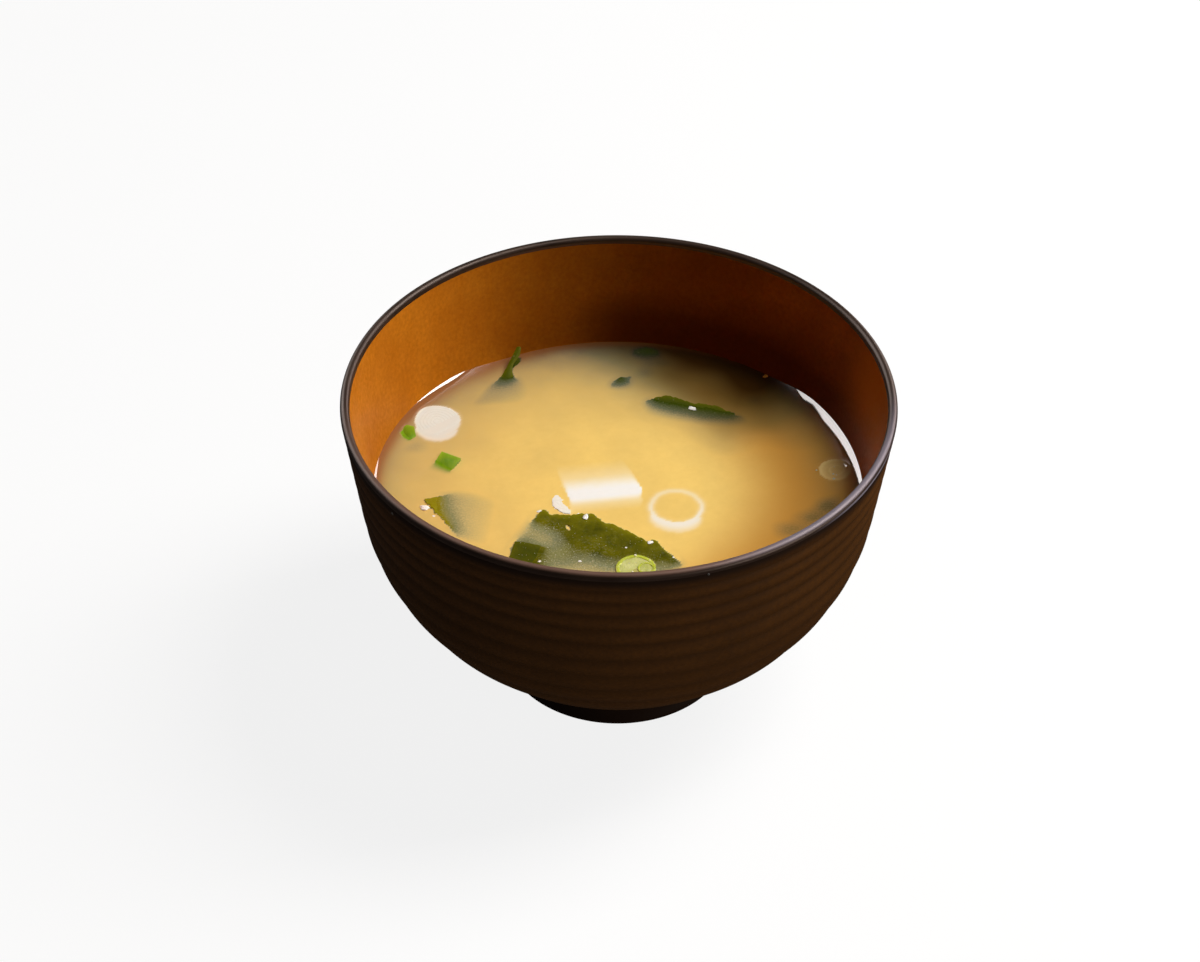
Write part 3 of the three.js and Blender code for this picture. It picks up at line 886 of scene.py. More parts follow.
def settle(bm, place, tip=(0.0, 0.0), uneven=0.0):
    # tips a round by degrees about X and Y, makes it a little uneven and sets it in the soup
    for vert in bm.verts:
        out = Vector((vert.co.x, vert.co.y, 0))
        if out.length > 0.1:
            vert.co += out.normalized() * uneven * wobble(out.normalized() * 2, 1.3, place[0])
    turn = Matrix.Rotation(math.radians(tip[0]), 4, "X") @ Matrix.Rotation(math.radians(tip[1]), 4, "Y")
    bmesh.ops.transform(bm, matrix=Matrix.Translation((*place, soupLevel)) @ turn, verts=bm.verts)


def leekMaterial():
    material, tree, shader = newMaterial("leekWhite", {
        "Roughness": 0.42, "Specular IOR Level": 0.25, "Subsurface Weight": 0.1,
        "Subsurface Radius": (0.002, 0.0018, 0.0012), "Subsurface Scale": 1.0})
    point = objectPoint(tree)
    mottle = placeGroup(tree, softMottle, {"Vector": point, "Fine Scale": 1300.0, "Blotch Scale": 300.0})
    color = mixColors(tree, pointValue(tree, "skin"), leekValues["white"], leekValues["skinColor"])
    blotch = multiply(tree, mottle["Blotch"], 0.3)
    setInputs(tree, shader, {
        "Base Color": mixColors(tree, blotch, color, leekValues["blotchColor"]),
        "Normal": bumpNormal(tree, mottle["Fine"], 0.3, 0.00008)})
    return material


def buildDisc(material):
    disc = leekValues["disc"]
    low, top, radius, edge = disc["top"] - disc["thickness"], disc["top"], disc["radius"], disc["edge"]
    skinWidth = (radius - edge) / disc["skins"]
    shown, deep = leekValues["crease"]
    rows = [i * (radius - edge) / 48 for i in range(49)]
    bm = bmesh.new()
    spinProfile(bm, [(0, low)] + arc(radius - edge, low + edge, edge, 270, 360, 3)
                + arc(radius - edge, top - edge, edge, 0, 90, 5) + [(r, top) for r in rows[:-1][::-1]], 80)
    skin = bm.verts.layers.float.new("skin")
    for vert in bm.verts:       # concentric skins, a little spiral, show as fine creases
        r = math.hypot(vert.co.x, vert.co.y)
        around = math.atan2(vert.co.y, vert.co.x)
        place = (r / skinWidth + 0.35 * math.sin(around + 0.8) + 0.2 * wobble(vert.co, 2.0, 6.0)) % 1.0
        onFace = vert.co.z > top - 0.1 and r > 0.4
        crease = math.exp(-(min(place, 1 - place) / 0.16) ** 2) if onFace else 0.0
        vert[skin] = shown * crease
        vert.co.z -= deep * crease
    bmesh.ops.scale(bm, vec=(1, disc["long"], 1), verts=bm.verts)
    settle(bm, disc["place"], disc["tip"], 0.12)
    keepShape("leek", bm)
    addPiece("leekDisc", bm, [material], ["leek_disc"])


def buildRing(material):
    ring = leekValues["ring"]
    sunkHollows.append((*ring["place"], ring["radius"] - ring["wall"] / 2))
    bm = bmesh.new()
    outline = ringOutline(ring["radius"], ring["wall"], ring["top"], ring["thickness"], 0.3)
    spinProfile(bm, outline, 96, closed=True)
    bm.verts.layers.float.new("skin")
    settle(bm, ring["place"], ring["tip"], 0.2)
    keepShape("leek", bm)
    addPiece("leekRing", bm, [material], ["leek_ring"])


def sliceMaterial():
    material, tree, shader = newMaterial("onionPale", {"Roughness": 0.18, "IOR": 1.38})
    point = objectPoint(tree)
    mottle = placeGroup(tree, softMottle, {"Vector": point, "Fine Scale": 1600.0, "Blotch Scale": 420.0})
    flesh = mixColors(tree, mottle["Blotch"], sliceColors["flesh"], sliceColors["fleshLight"])
    setInputs(tree, shader, {
        "Base Color": mixColors(tree, pointValue(tree, "skin"), flesh, sliceColors["skin"]),
        "Normal": bumpNormal(tree, mottle["Fine"], 0.6, 0.00015)})
    return material


def buildSlices():
    material = sliceMaterial()
    for name, cut in sliceValues.items():
        x, y, radius, wall = cut["inner"]
        bm = bmesh.new()
        skin = bm.verts.layers.float.new("skin")
        outline = ringOutline(cut["radius"], cut["wall"], cut["top"], cut["thickness"], 0.2)
        spinProfile(bm, outline, 64, closed=True)
        small = bmesh.new()
        outline = ringOutline(radius, wall, cut["top"], cut["thickness"], 0.16)
        spinProfile(small, outline, 40, closed=True)
        bmesh.ops.translate(small, verts=small.verts, vec=(x, y, 0))
        joinInto(bm, small)
        for vert in bm.verts:
            vert[skin] = 0.75
        film = bmesh.new()      # thin skin that closes the rings
        top, outer = cut["top"] - cut["filmDown"], cut["radius"] - cut["wall"] / 2
        rows = [outer * i / 16 for i in range(17)]
        spinProfile(film, [(0, top - cut["film"])] + [(outer, top - cut["film"])]
                    + [(r, top - 0.05 * math.cos(r)) for r in rows[::-1]], 48)
        joinInto(bm, film)
        settle(bm, cut["place"], (2.0, 1.0), 0.2)
        keepShape("slice", bm)
        addPiece(name, bm, [material], [cut["node"]])
    print("spring onion sliced")


def joinInto(bm, other):
    mesh = bpy.data.meshes.new("joining")
    other.to_mesh(mesh)
    other.free()
    bm.from_mesh(mesh)
    bpy.data.meshes.remove(mesh)


leekWhite = leekMaterial()
buildDisc(leekWhite)
buildRing(leekWhite)
print("leek sliced")
buildSlices()


# Soup. Its surface carries how much of the leaf, tofu or onion below shows at each point.

soupValues = {
    "cells": 272,
    "crowd": 0.3,               # how much closer the cells lie at the wall
    "rise": 1.35,               # how far the soup climbs the wall
    "riseReach": 2.1,
    "climbBack": (85, 41),      # the back, where it climbs less: middle and half width in degrees
    "climbLeast": 0.15,
    "clingRise": 0.1,           # how far it climbs what sticks out of it
    "clingReach": 0.45,
    "lookAlong": (0.0, 0.58, -0.81),
    "clearness": {"leaf": 0.8, "tofu": 1.1, "leek": 0.8, "onion": 0.8, "slice": 0.9},
    "slantClearness": 6.3,
    "blur": {"leaf": 1.1, "tofu": 0.35, "leek": 0.35, "onion": 0.5, "slice": 0.4},
    "frontOfMurkAndPaintedShade": [(-20, 53.5), (-10, 49.5), (-2, 44.6), (5, 37.4), (12.5, 32.4), (18.5, 28), (24.5, 23.5),
                    (32.5, 24.5), (42, 29), (52, 31)],
    "murkAndPaintedShadeWidth": 24,            # how far the murk and painted shade take to grow dark
    "bandWidth": (0.9, 0.8, 2.0),       # the wall's edge: all round, more at the left, more at the back left
    # painted shade near the wall, partly thinner broth
    "edgeShade": (0.60, 0.33, 0.56),    # all round, more at the back, less at the far right
    "amberFrom": 19,            # radius where the amber begins
    "amberPale": (0.85, 7.5),   # how much it fades at the wall, and how far out
    # patches of leaf that is wholly sunk: place, half sizes, strength
    "sunkLeaves": [(44.5, -5, 3.5, 3.2, 0.5), (41, -9, 3.5, 2.6, 0.5), (36.5, -13, 4.0, 2.4, 0.42),
                   (30, 30.5, 3.2, 1.7, 0.3), (8, 44, 4.0, 2.0, 0.3), (5.5, 40.5, 2.2, 1.8, 0.35),
                   (-43.5, 13, 3.0, 2.2, 0.25)],
}
soupColors = {
    # thin broth, also standing as painted shade near the wall
    "thin": (0.14, 0.098, 0.085),
    "cream": (0.98, 0.68, 0.195),
    "settled": (0.70, 0.44, 0.085),
    "grain": (0.74, 0.46, 0.10),
    "amber": (0.63, 0.285, 0.042),
    # murky broth at the back right, darkened with painted shade of the dark wall
    "murkAndPaintedShade": [(0.0, (1, 1, 1)), (0.25, (0.80, 0.84, 0.97)), (0.5, (0.43, 0.52, 0.70)),
             (0.75, (0.22, 0.25, 0.29)), (1.0, (0.09, 0.070, 0.045))],
    # painted pale reflection near the left wall
    "paintedReflectionLeft": (0.74, 0.85, 1.0),
    # the wall as it shows at the soup's edge, in painted shade and painted light
    "wallShaded": (0.08, 0.028, 0.004),
    "wallLit": (0.34, 0.125, 0.040),
    "leafVeil": (0.33, 0.50, 1.0),
    "leafDust": (0.52, 0.51, 0.36),
    "onionVeil": (0.38, 0.36, 0.10),
    "frontSlice": (0.46, 0.42, 0.12),
    "rightSlice": (0.97, 0.72, 0.27),
    "ringVeil": (0.96, 0.82, 0.54),
    "ring": (0.95, 0.89, 0.77),
    "discVeil": (0.82, 0.74, 0.58),
    "disc": (0.78, 0.77, 0.69),
    "tofuVeil": (1.0, 0.88, 0.56),
    "tofu": (1.0, 0.99, 0.96),
}
soupRadius = wallPoint(hollowWall, soupLevel + soupValues["rise"], 0.03)[0]


def coverAt(kind, x, y):
    # 1 where a piece breaks the surface, fading as it lies deeper
    clear = soupValues["clearness"][kind]
    look = Vector(soupValues["lookAlong"])
    cover = 0.0
    for tree, low, high in sunkShapes[kind]:
        if not (low[0] - 2 < x < high[0] + 2 and low[1] - 8 < y < high[1] + 2):
            continue
        hit = tree.ray_cast(Vector((x, y, soupLevel + 8)), Vector((0, 0, -1)))[0]
        if hit:
            cover = max(cover, math.exp(-max(0.0, soupLevel - hit.z) / clear))
        hidden = any(math.hypot(x - cx, y - cy) < radius for cx, cy, radius in sunkHollows)
        if kind in ("tofu", "leek") and not hidden:
            found, normal, _, distance = tree.ray_cast(Vector((x, y, soupLevel)), look)
            if found and normal.y < -0.4:       # a side that faces the front
                cover = max(cover, 0.9 * math.exp(-distance / soupValues["slantClearness"]))
    return cover


def blurred(grid, cells):
    # gaussian blur over a square grid, cells wide
    reach = int(3 * cells) + 1
    kernel = np.exp(-0.5 * (np.arange(-reach, reach + 1) / cells) ** 2)
    kernel /= kernel.sum()
    padded = np.pad(grid, reach, mode="edge")
    rows = np.apply_along_axis(lambda line: np.convolve(line, kernel, "valid"), 1, padded)
    return np.apply_along_axis(lambda line: np.convolve(line, kernel, "valid"), 0, rows)


def bareSoup(tree, point):
    # the soup with nothing in it: clouded, with painted shade near the wall, amber at the right, murky with
    # painted shade at the back right, a painted pale reflection near the left wall, and the wall's painted
    # light and shade at its edge
    mottle = placeGroup(tree, softMottle, {"Vector": point, "Fine Scale": 900.0, "Blotch Scale": 95.0})
    cloud = calculate(tree, "ADD", pointValue(tree, "cream"),
                      rescale(tree, mottle["Blotch"], 0, 1, -0.05, 0.05), clamp=True)
    miso = mixColors(tree, cloud, soupColors["thin"], soupColors["cream"])
    flecked = noiseMask(tree, point, 420.0, 5.0, 0.65, 0.35, 0.70)
    settled = mixColors(tree, multiply(tree, flecked, 0.13), miso, soupColors["settled"])
    grained = mixColors(tree, multiply(tree, mottle["Fine"], 0.08), settled, soupColors["grain"])
    amber = mixColors(tree, pointValue(tree, "amber"), grained, soupColors["amber"])
    # painted pale reflection near the left wall
    paintedReflection = mixColors(tree, pointValue(tree, "paintedReflectionLeft"), amber, soupColors["paintedReflectionLeft"], blend="MULTIPLY")
    murkAndPaintedShade = addNode(tree, "ValToRGB", {"Fac": pointValue(tree, "murkAndPaintedShade")})
    ramp = murkAndPaintedShade.color_ramp.elements
    ramp[0].color = (*soupColors["murkAndPaintedShade"][0][1], 1)
    ramp[1].color = (*soupColors["murkAndPaintedShade"][-1][1], 1)
    for place, color in soupColors["murkAndPaintedShade"][1:-1]:
        ramp.new(place).color = (*color, 1)
    broth = mixColors(tree, 1.0, paintedReflection, murkAndPaintedShade.outputs["Color"], blend="MULTIPLY")
    # the wall at the soup's edge, in painted light at the left and painted shade at the right
    wall = mixColors(tree, pointValue(tree, "wallLight"), soupColors["wallShaded"], soupColors["wallLit"])
    return mixColors(tree, pointValue(tree, "wallBand"), broth, wall)


def withLeaf(tree, point, under):
    # a misty, dusted veil over what lies deeper, and the leaf's own skin where it comes near the surface
    leaf = pointValue(tree, "leafCover")
    leafSkin = placeGroup(tree, wakameSkin, {"Vector": point})["Color"]
    misty = mixColors(tree, 1.0, under, soupColors["leafVeil"], blend="MULTIPLY")
    powder = noiseMask(tree, point, 2300.0, 3.0, 0.65, 0.40, 0.68)
    powdery = rescale(tree, axisOf(tree, point, "Y"), 0.0, 0.025, 0.14, 0.03)
    dusty = mixColors(tree, multiply(tree, powder, powdery), misty, soupColors["leafDust"])
    broken = calculate(tree, "ADD", leaf, rescale(tree, powder, 0.0, 1.0, 0.05, -0.07))
    patchy = rescale(tree, powder, 0.0, 1.0, 1.12, 0.80)
    veiled = multiply(tree, rescale(tree, leaf, 0.05, 0.6), patchy, clamp=True)
    veil = mixColors(tree, veiled, under, dusty)
    return mixColors(tree, rescale(tree, broken, 0.35, 1.0), veil, leafSkin)


def withPiece(tree, cover, under, veil, skin, veilEnds, skinEnds):
    # a pale veil first, then the piece's own colour
    veiled = mixColors(tree, rescale(tree, cover, *veilEnds), under, veil)
    return mixColors(tree, rescale(tree, cover, *skinEnds, smooth=True), veiled, skin)


def soupMaterial():
    material, tree, shader = newMaterial("misoSoup", {
        "Roughness": 0.06, "IOR": 1.34, "Coat IOR": 1.95, "Coat Roughness": 0.05})
    point = objectPoint(tree)
    shown = withLeaf(tree, point, bareSoup(tree, point))
    onionGreen = placeGroup(tree, onionSkin, {"Vector": point})["Color"]
    shown = withPiece(tree, pointValue(tree, "onionCover"), shown, soupColors["onionVeil"], onionGreen,
                      (0.0, 0.6), (0.4, 0.97))
    atRight = rescale(tree, pointValue(tree, "amber"), 0.0, 0.5)
    slices = mixColors(tree, atRight, soupColors["frontSlice"], soupColors["rightSlice"])
    shown = mixColors(tree, pointValue(tree, "sliceCover"), shown, slices)
    ashore = rescale(tree, axisOf(tree, point, "X"), -0.030, -0.034)    # the disc at the left, not the ring
    leekVeil = mixColors(tree, ashore, soupColors["ringVeil"], soupColors["discVeil"])
    leekSkin = mixColors(tree, ashore, soupColors["ring"], soupColors["disc"])
    shown = withPiece(tree, pointValue(tree, "leekCover"), shown, leekVeil, leekSkin, (0.0, 0.7), (0.5, 0.92))
    shown = withPiece(tree, pointValue(tree, "tofuCover"), shown, soupColors["tofuVeil"],
                      soupColors["tofu"], (0.26, 0.75), (0.46, 0.88))
    setInputs(tree, shader, {"Base Color": shown, "Coat Weight": pointValue(tree, "meniscus")})
    return material


def beyondFront(x, y):
    # distance past the front of the murk, positive towards the far right wall
    best, side = 99.0, 1.0
    points = soupValues["frontOfMurkAndPaintedShade"]
    for (ax, ay), (bx, by) in zip(points, points[1:]):
        along = (bx - ax, by - ay)
        share = ((x - ax) * along[0] + (y - ay) * along[1]) / (along[0] ** 2 + along[1] ** 2)
        share = min(1.0, max(0.0, share))
        dx, dy = x - ax - share * along[0], y - ay - share * along[1]
        if math.hypot(dx, dy) < best:
            best, side = math.hypot(dx, dy), dy * along[0] - dx * along[1]
    return best if side > 0 else -best


def clingToWall(around):
    # the soup climbs the wall less along the back
    middle, half = np.radians(soupValues["climbBack"])
    share = np.clip((np.abs(around - middle) - half + 0.14) / 0.32, 0, 1)
    least = soupValues["climbLeast"]
    return least + (1 - least) * share ** 2 * (3 - 2 * share)


def towards(around, degrees, spread):
    # 1 in one direction, falling off on both sides of it
    return np.exp(-((around - math.radians(degrees)) / spread) ** 2)


def soupAttributes(xs, ys, inGrid):
    r = np.hypot(xs, ys)
    toWall = soupRadius - r
    around = np.arctan2(ys, xs)
    ripple = np.array([wobble((x, y, 0), 9.0, 2.0) for x, y in zip(xs, ys)])
    masks = {}
    lit = 0.5 - 0.5 * np.cos(around)        # 1 at the lit left wall, 0 at the right
    back = np.clip(np.sin(around), 0, 1)
    farLeft = towards(around, 125, 0.5)
    farRight = towards(around, 26, 0.55)
    masks["meniscus"] = np.clip(1.8 - toWall / (2.2 - 1.1 * lit), 0, 1) * clingToWall(around)
    # painted pale reflection near the left wall
    masks["paintedReflectionLeft"] = np.exp(-toWall / 10) * lit ** 2
    # painted light and shade of the wall where it shows at the soup's edge
    masks["wallLight"] = lit ** 2
    band, bandLeft, bandFarLeft = soupValues["bandWidth"]
    width = band + bandLeft * lit + bandFarLeft * farLeft
    masks["wallBand"] = np.exp(-(toWall / (width * (1 + 0.25 * ripple))) ** 2)
    past = np.array([beyondFront(x, y) for x, y in zip(xs, ys)])
    # murky broth at the back right, with painted shade
    masks["murkAndPaintedShade"] = np.clip(0.5 + (past + 3.0 * ripple) / soupValues["murkAndPaintedShadeWidth"], 0, 1)
    # painted shade near the wall, partly thinner broth: the cream fades there
    shade, shadeBack, shadeRight = soupValues["edgeShade"]
    edgeShade = (shade + shadeBack * back - shadeRight * farRight) * np.exp(-toWall / (12 + 3 * back))
    masks["cream"] = np.clip(1 - edgeShade + 0.03 * ripple, 0, 1)
    amber = np.clip((r - soupValues["amberFrom"]) / 21, 0, 1) * np.clip((xs + 4) / 24, 0, 1)
    fade, reach = soupValues["amberPale"]
    masks["amber"] = amber ** 2 * (3 - 2 * amber) * (1 - fade * np.exp(-toWall / reach))
    for kind in sunkShapes:
        masks[kind + "Cover"] = coverMask(kind, xs, ys, inGrid)
    return masks


def coverMask(kind, xs, ys, inGrid):
    # how much of one kind shows, sharp where it breaks the surface and blurred where it is sunk
    cover = np.array([coverAt(kind, x, y) for x, y in zip(xs, ys)])
    if kind == "leaf":
        torn = np.array([wobble((x, y, 0), 2.2, 9.0) for x, y in zip(xs, ys)])
        for x, y, a, b, amount in soupValues["sunkLeaves"]:
            away = ((xs - x) / a) ** 2 + ((ys - y) / b) ** 2
            cover = np.maximum(cover, amount * np.clip(1.5 * np.exp(-away) - 0.35 + 0.5 * torn, 0, 1))
    blur = soupValues["blur"][kind] * soupValues["cells"] / (2 * soupRadius)
    grid = inGrid(cover)
    soft = blurred(grid, blur)
    dry = np.clip(4 * blurred((grid > 0.9).astype(float), blur), 0, 1)
    soft = np.where(grid < 0.02, soft * (1 - dry), soft)     # no veil beside an edge out of the soup
    return inGrid(grid ** 3 + (1 - grid ** 2) * soft, back=True)


def buildSoup():
    cells = soupValues["cells"]
    bm = bmesh.new()
    bmesh.ops.create_grid(bm, x_segments=cells, y_segments=cells, size=1.0)
    square = np.array([vert.co[:2] for vert in bm.verts])
    across = np.rint((square + 1) / 2 * cells).astype(int)

    def inGrid(values, back=False):
        if back:
            return values[across[:, 1], across[:, 0]]
        grid = np.zeros((cells + 1, cells + 1))
        grid[across[:, 1], across[:, 0]] = values
        return grid

    sx, sy = square.T
    roundX = sx * np.sqrt(1 - sy ** 2 / 2)      # square grid drawn into a circle
    roundY = sy * np.sqrt(1 - sx ** 2 / 2)
    share = np.hypot(roundX, roundY)
    spread = soupRadius * (1 + soupValues["crowd"] * (1 - share))
    xs, ys = roundX * spread, roundY * spread
    masks = soupAttributes(xs, ys, inGrid)
    rise = soupValues["rise"] * np.exp(-(soupRadius - np.hypot(xs, ys)) / soupValues["riseReach"])
    rise *= clingToWall(np.arctan2(ys, xs))
    layers = {name: bm.verts.layers.float.new(name) for name in masks}
    for i, vert in enumerate(bm.verts):
        vert.co = (xs[i], ys[i], soupLevel + rise[i] + clinging(xs[i], ys[i]))
        for name, layer in layers.items():
            vert[layer] = masks[name][i]
    closeSoup(bm)
    soup = addPiece("misoSoup", bm, [soupMaterial()], ["soup"])
    soup.visible_diffuse = False        # keeps the wall above the soup as dark as it should be
    print("soup poured")


def clinging(x, y):
    # small rise where the soup meets whatever stands out of it
    nearest = 9.0
    for kind in sunkShapes.values():
        for tree, low, high in kind:
            if low[0] - 1.5 < x < high[0] + 1.5 and low[1] - 1.5 < y < high[1] + 1.5:
                found = tree.find_nearest(Vector((x, y, soupLevel + 0.35)), 1.5)
                if found[0] is not None and found[0].z > soupLevel - 0.05:
                    nearest = min(nearest, math.hypot(found[0].x - x, found[0].y - y))
    return soupValues["clingRise"] * math.exp(-nearest / soupValues["clingReach"])


def closeSoup(bm):
    # side and underside, just clear of the bowl
    rim = [edge for edge in bm.edges if edge.is_boundary]
    bottom = hollowWall["floor"] + 0.3
    rows = 9
    for i in range(1, rows + 1):
        height = soupLevel + (bottom - soupLevel) * math.sin(math.pi / 2 * i / rows)
        made = bmesh.ops.extrude_edge_only(bm, edges=rim)["geom"]
        rim = [item for item in made if isinstance(item, bmesh.types.BMEdge)]
        radius, z = wallPoint(hollowWall, height, -0.1)
        for vert in {vert for edge in rim for vert in edge.verts}:
            out = Vector((vert.co.x, vert.co.y, 0)).normalized()
            vert.co = out * radius + Vector((0, 0, z))
    bmesh.ops.holes_fill(bm, edges=rim, sides=0)
    bmesh.ops.recalc_face_normals(bm, faces=bm.faces)


buildSoup()


# Crumbs, specks and bubbles on the soup

speckValues = {
    "seed": 11,
    # place, half length, width share, turn
    "flecks": [(-16.4, -7.9, 0.55, 0.7, 20), (-6.7, -9.9, 0.85, 0.6, 70), (6.8, -17.8, 0.6, 0.75, 10),
               (-40.6, -7.1, 1.05, 0.62, -10), (-38.5, -9.7, 0.32, 0.8, 0), (16.1, 27.6, 0.8, 0.7, -20),
               (1.8, -19.4, 0.25, 0.8, 0), (-16.0, -23.9, 0.42, 0.7, 30), (-7.7, -23.7, 0.34, 0.8, 0),
               (-8.3, -8.6, 0.3, 0.7, 40), (11.6, -22.2, 0.25, 0.8, 0)],
    "powder": 420,
    "powderSize": (0.05, 0.13),
    "bubbles": 16,
    "bubbleSize": (0.12, 0.34),
    "orange": (32.6, 39.2, 0.6, 0.7, 15),
    "lint": [(-43.5, -35.3, 68.0), (17.0, -52.8, 69.2)],
}
speckColors = {     # dark, light and roughness
    "tofuFleck": ((0.95, 0.92, 0.85), (0.99, 0.98, 0.95), 0.35),
    "misoPowder": ((0.44, 0.43, 0.29), (0.68, 0.66, 0.51), 0.5),
    "bubbleSkin": ((0.80, 0.76, 0.50), (0.95, 0.92, 0.75), 0.08),
    "orangeSkin": ((1.0, 0.42, 0.02), (1.0, 0.58, 0.06), 0.3),
    "lint": ((0.07, 0.065, 0.06), (0.13, 0.12, 0.11), 0.7),
}


def heightOver(x, y):
    # the soup level, or whatever stands out of it
    height = soupLevel
    for shapes in sunkShapes.values():
        for tree, low, high in shapes:
            if low[0] < x < high[0] and low[1] < y < high[1]:
                hit = tree.ray_cast(Vector((x, y, soupLevel + 8)), Vector((0, 0, -1)))[0]
                height = max(height, hit.z) if hit else height
    return height


def addLump(bm, place, size, squash, turn, steps, rough):
    made = bmesh.ops.create_icosphere(bm, subdivisions=steps, radius=1.0)["verts"]
    spread = Matrix.Diagonal((size, size * squash[0], size * squash[1], 1.0))
    around = Matrix.Rotation(math.radians(turn), 4, "Z")
    for vert in made:
        vert.co *= 1 + rough * (wobble(vert.co, 0.8, place[0]) + 0.6 * wobble(vert.co, 0.35, place[1]))
    bmesh.ops.transform(bm, matrix=Matrix.Translation(place) @ around @ spread, verts=made)


def speckMaterial(name):
    dark, light, roughness = speckColors[name]
    material, tree, shader = newMaterial(name, {"Roughness": roughness, "Specular IOR Level": 0.3})
    point = objectPoint(tree)
    mottle = placeGroup(tree, softMottle, {"Vector": point, "Fine Scale": 4000.0, "Blotch Scale": 900.0})
    setInputs(tree, shader, {
        "Base Color": mixColors(tree, mottle["Blotch"], dark, light),
        "Normal": bumpNormal(tree, mottle["Fine"], 0.3, 0.00005)})
    return material


def scatterFlecks():
    bm = bmesh.new()
    for x, y, size, wide, turn in speckValues["flecks"]:
        addLump(bm, (x, y, heightOver(x, y) + 0.1 * size), size, (wide, 0.22), turn, 4, 0.45)
    addPiece("tofuFlecks", bm, [speckMaterial("tofuFleck")])


def scatterPowder(dice):
    # grains on the front leaf, most where it lies just under the surface
    bm = bmesh.new()
    count = 0
    while count < speckValues["powder"]:
        x, y = dice.uniform(-21, 12), dice.uniform(-28, -8)
        cover = coverAt("leaf", x, y)
        if dice.random() < (0.9 if 0.25 < cover < 0.95 else 0.12) * (cover > 0.2):
            size = dice.uniform(*speckValues["powderSize"]) * dice.uniform(0.6, 1.0)
            addLump(bm, (x, y, heightOver(x, y)), size, (0.8, 0.5), dice.uniform(0, 180), 1, 0.3)
            count += 1
    addPiece("misoPowder", bm, [speckMaterial("misoPowder")])


def scatterBubbles(dice):
    bm = bmesh.new()
    for _ in range(speckValues["bubbles"]):
        cut = dice.choice(list(sliceValues.values()))
        turn, reach = dice.uniform(0, math.tau), cut["radius"] * dice.uniform(0.2, 1.15)
        x, y = cut["place"][0] + reach * math.cos(turn), cut["place"][1] + reach * math.sin(turn)
        if math.hypot(x, y) < soupRadius - 1.5:
            size = dice.uniform(*speckValues["bubbleSize"])
            addLump(bm, (x, y, heightOver(x, y)), size, (1.0, 0.7), 0, 3, 0.0)
    addPiece("bubbles", bm, [speckMaterial("bubbleSkin")])


def placeOrangeSpeck():
    bm = bmesh.new()
    x, y, size, wide, turn = speckValues["orange"]
    addLump(bm, (x, y, soupLevel + 0.15), size, (wide, 0.5), turn, 3, 0.4)
    addPiece("orangeSpeck", bm, [speckMaterial("orangeSkin")])


def placeLint(dice):
    bm = bmesh.new()
    for x, y, z in speckValues["lint"]:
        out = Vector((x, y, 0)).normalized() * (wallRadius(outsideWall, z) - 0.1)
        addLump(bm, (out.x, out.y, z), 0.35, (0.6, 1.0), dice.uniform(0, 180), 2, 0.4)
    addPiece("lintSpecks", bm, [speckMaterial("lint")])


speckDice = random.Random(speckValues["seed"])
scatterFlecks()
scatterPowder(speckDice)
scatterBubbles(speckDice)
placeOrangeSpeck()
placeLint(speckDice)
print("specks scattered")


# Camera, light and floor

viewValues = {
    "place": (0.0, -0.4885, 0.4496),
    "aim": (-0.0038, -0.0003, 0.0474),
    "lens": 89.8,
    "roll": 0.259,
    "keyLight": {"turn": 18.0, "height": 52.0, "power": 10.5, "color": (1.0, 0.97, 0.93),
                 "size": (0.36, 0.70)},
    "lowLight": {"turn": -30.0, "height": 0.0, "power": 4.0, "color": (1.0, 0.95, 0.90),
                 "size": (0.8, 0.07)},
    "windowLight": {"turn": 138.0, "height": 31.0, "power": 6.0, "color": (1.0, 0.95, 0.93),
                    "size": (0.58, 0.66), "glossOnly": True},
    "sideLight": {"turn": 50.0, "height": 18.0, "power": 2.9, "color": (1.0, 0.84, 0.80),
                  "size": (0.5, 0.34), "glossOnly": True},
    "lightDistance": 0.9,
    "fill": 0.03,
    "fillInGloss": 0.02,
    "behind": 0.97,             # brightness of the empty background
    "floorGlow": 0.86,          # brightness of the floor as seen
    "floorBounce": 0.30,        # brightness of the floor as it lights the bowl
}


def addCamera():
    camera = bpy.data.cameras.new("camera")
    camera.lens = viewValues["lens"]
    camera.clip_start = 0.01
    holder = bpy.data.objects.new("camera", camera)
    sceneObjects.link(holder)
    place = Vector(viewValues["place"])
    turn = (Vector(viewValues["aim"]) - place).to_track_quat("-Z", "Y").to_matrix().to_4x4()
    roll = Matrix.Rotation(math.radians(viewValues["roll"]), 4, "Z")
    holder.matrix_world = Matrix.Translation(place) @ turn @ roll
    bpy.context.scene.camera = holder


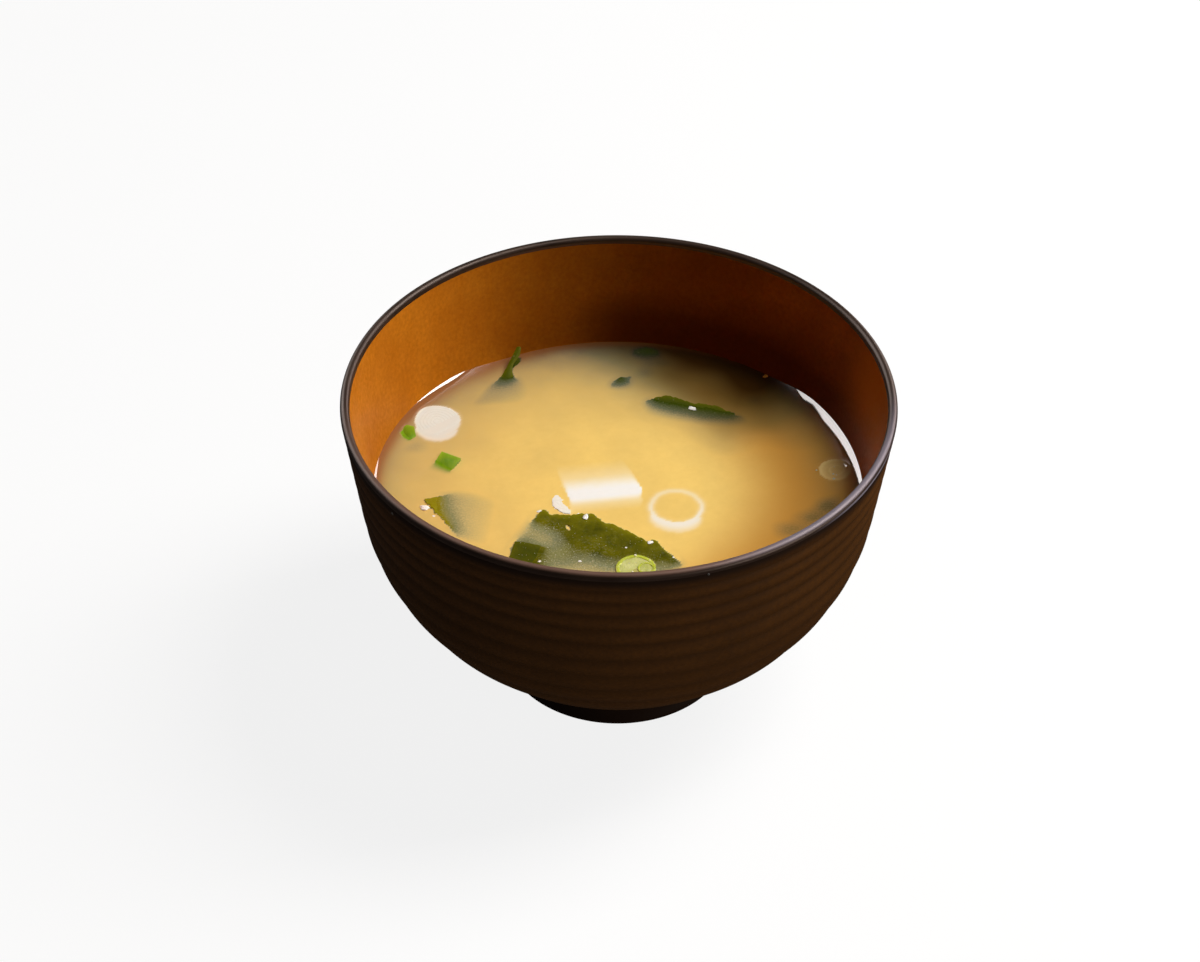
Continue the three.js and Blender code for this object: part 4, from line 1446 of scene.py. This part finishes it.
def addLight(name):
    values = viewValues[name]
    light = bpy.data.lights.new(name, "AREA")
    light.shape = "RECTANGLE"
    light.size, light.size_y = values["size"]
    light.energy = values["power"]
    light.color = values["color"]
    holder = bpy.data.objects.new(name, light)
    sceneObjects.link(holder)
    turn, height = math.radians(values["turn"]), math.radians(values["height"])
    level = math.cos(height)
    away = Vector((level * math.cos(turn), level * math.sin(turn), math.sin(height)))
    target = Vector((0, 0, soupLevel * mm))
    rotation = away.to_track_quat("Z", "Y").to_matrix().to_4x4()
    holder.matrix_world = Matrix.Translation(target + away * viewValues["lightDistance"]) @ rotation
    holder.visible_diffuse = not values.get("glossOnly", False)


def addWorld():
    world = bpy.data.worlds.new("studio")
    world.use_nodes = True
    tree = world.node_tree
    background = tree.nodes["Background"]
    path = addNode(tree, "LightPath").outputs
    lit = rescale(tree, path["Is Glossy Ray"], 0, 1, viewValues["fill"], viewValues["fillInGloss"])
    seen = multiply(tree, path["Is Camera Ray"], viewValues["behind"])
    setInputs(tree, background, {"Color": (1, 1, 1, 1), "Strength": calculate(tree, "MAXIMUM", lit, seen)})
    bpy.context.scene.world = world


def addFloor():
    bm = bmesh.new()
    bmesh.ops.create_grid(bm, x_segments=1, y_segments=1, size=4.0)
    mesh = bpy.data.meshes.new("floor")
    bm.to_mesh(mesh)
    bm.free()
    floor = bpy.data.objects.new("floor", mesh)
    sceneObjects.link(floor)
    material, tree, shader = newMaterial("floor", {
        "Roughness": 0.9, "Specular IOR Level": 0.0, "Emission Color": (1, 1, 1, 1)})
    soft = noiseMask(tree, objectPoint(tree), 3.0)
    seen = addNode(tree, "LightPath").outputs["Is Camera Ray"]
    setInputs(tree, shader, {
        "Base Color": mixColors(tree, soft, (0.14, 0.14, 0.14), (0.15, 0.15, 0.15)),
        "Emission Strength": rescale(tree, seen, 0, 1, viewValues["floorBounce"], viewValues["floorGlow"])})
    mesh.materials.append(material)
    floor.visible_glossy = False


addCamera()
addWorld()
addFloor()
for lightName in ("keyLight", "lowLight", "windowLight", "sideLight"):
    addLight(lightName)
bpy.context.scene.view_settings.view_transform = "Standard"
print("camera and light set")
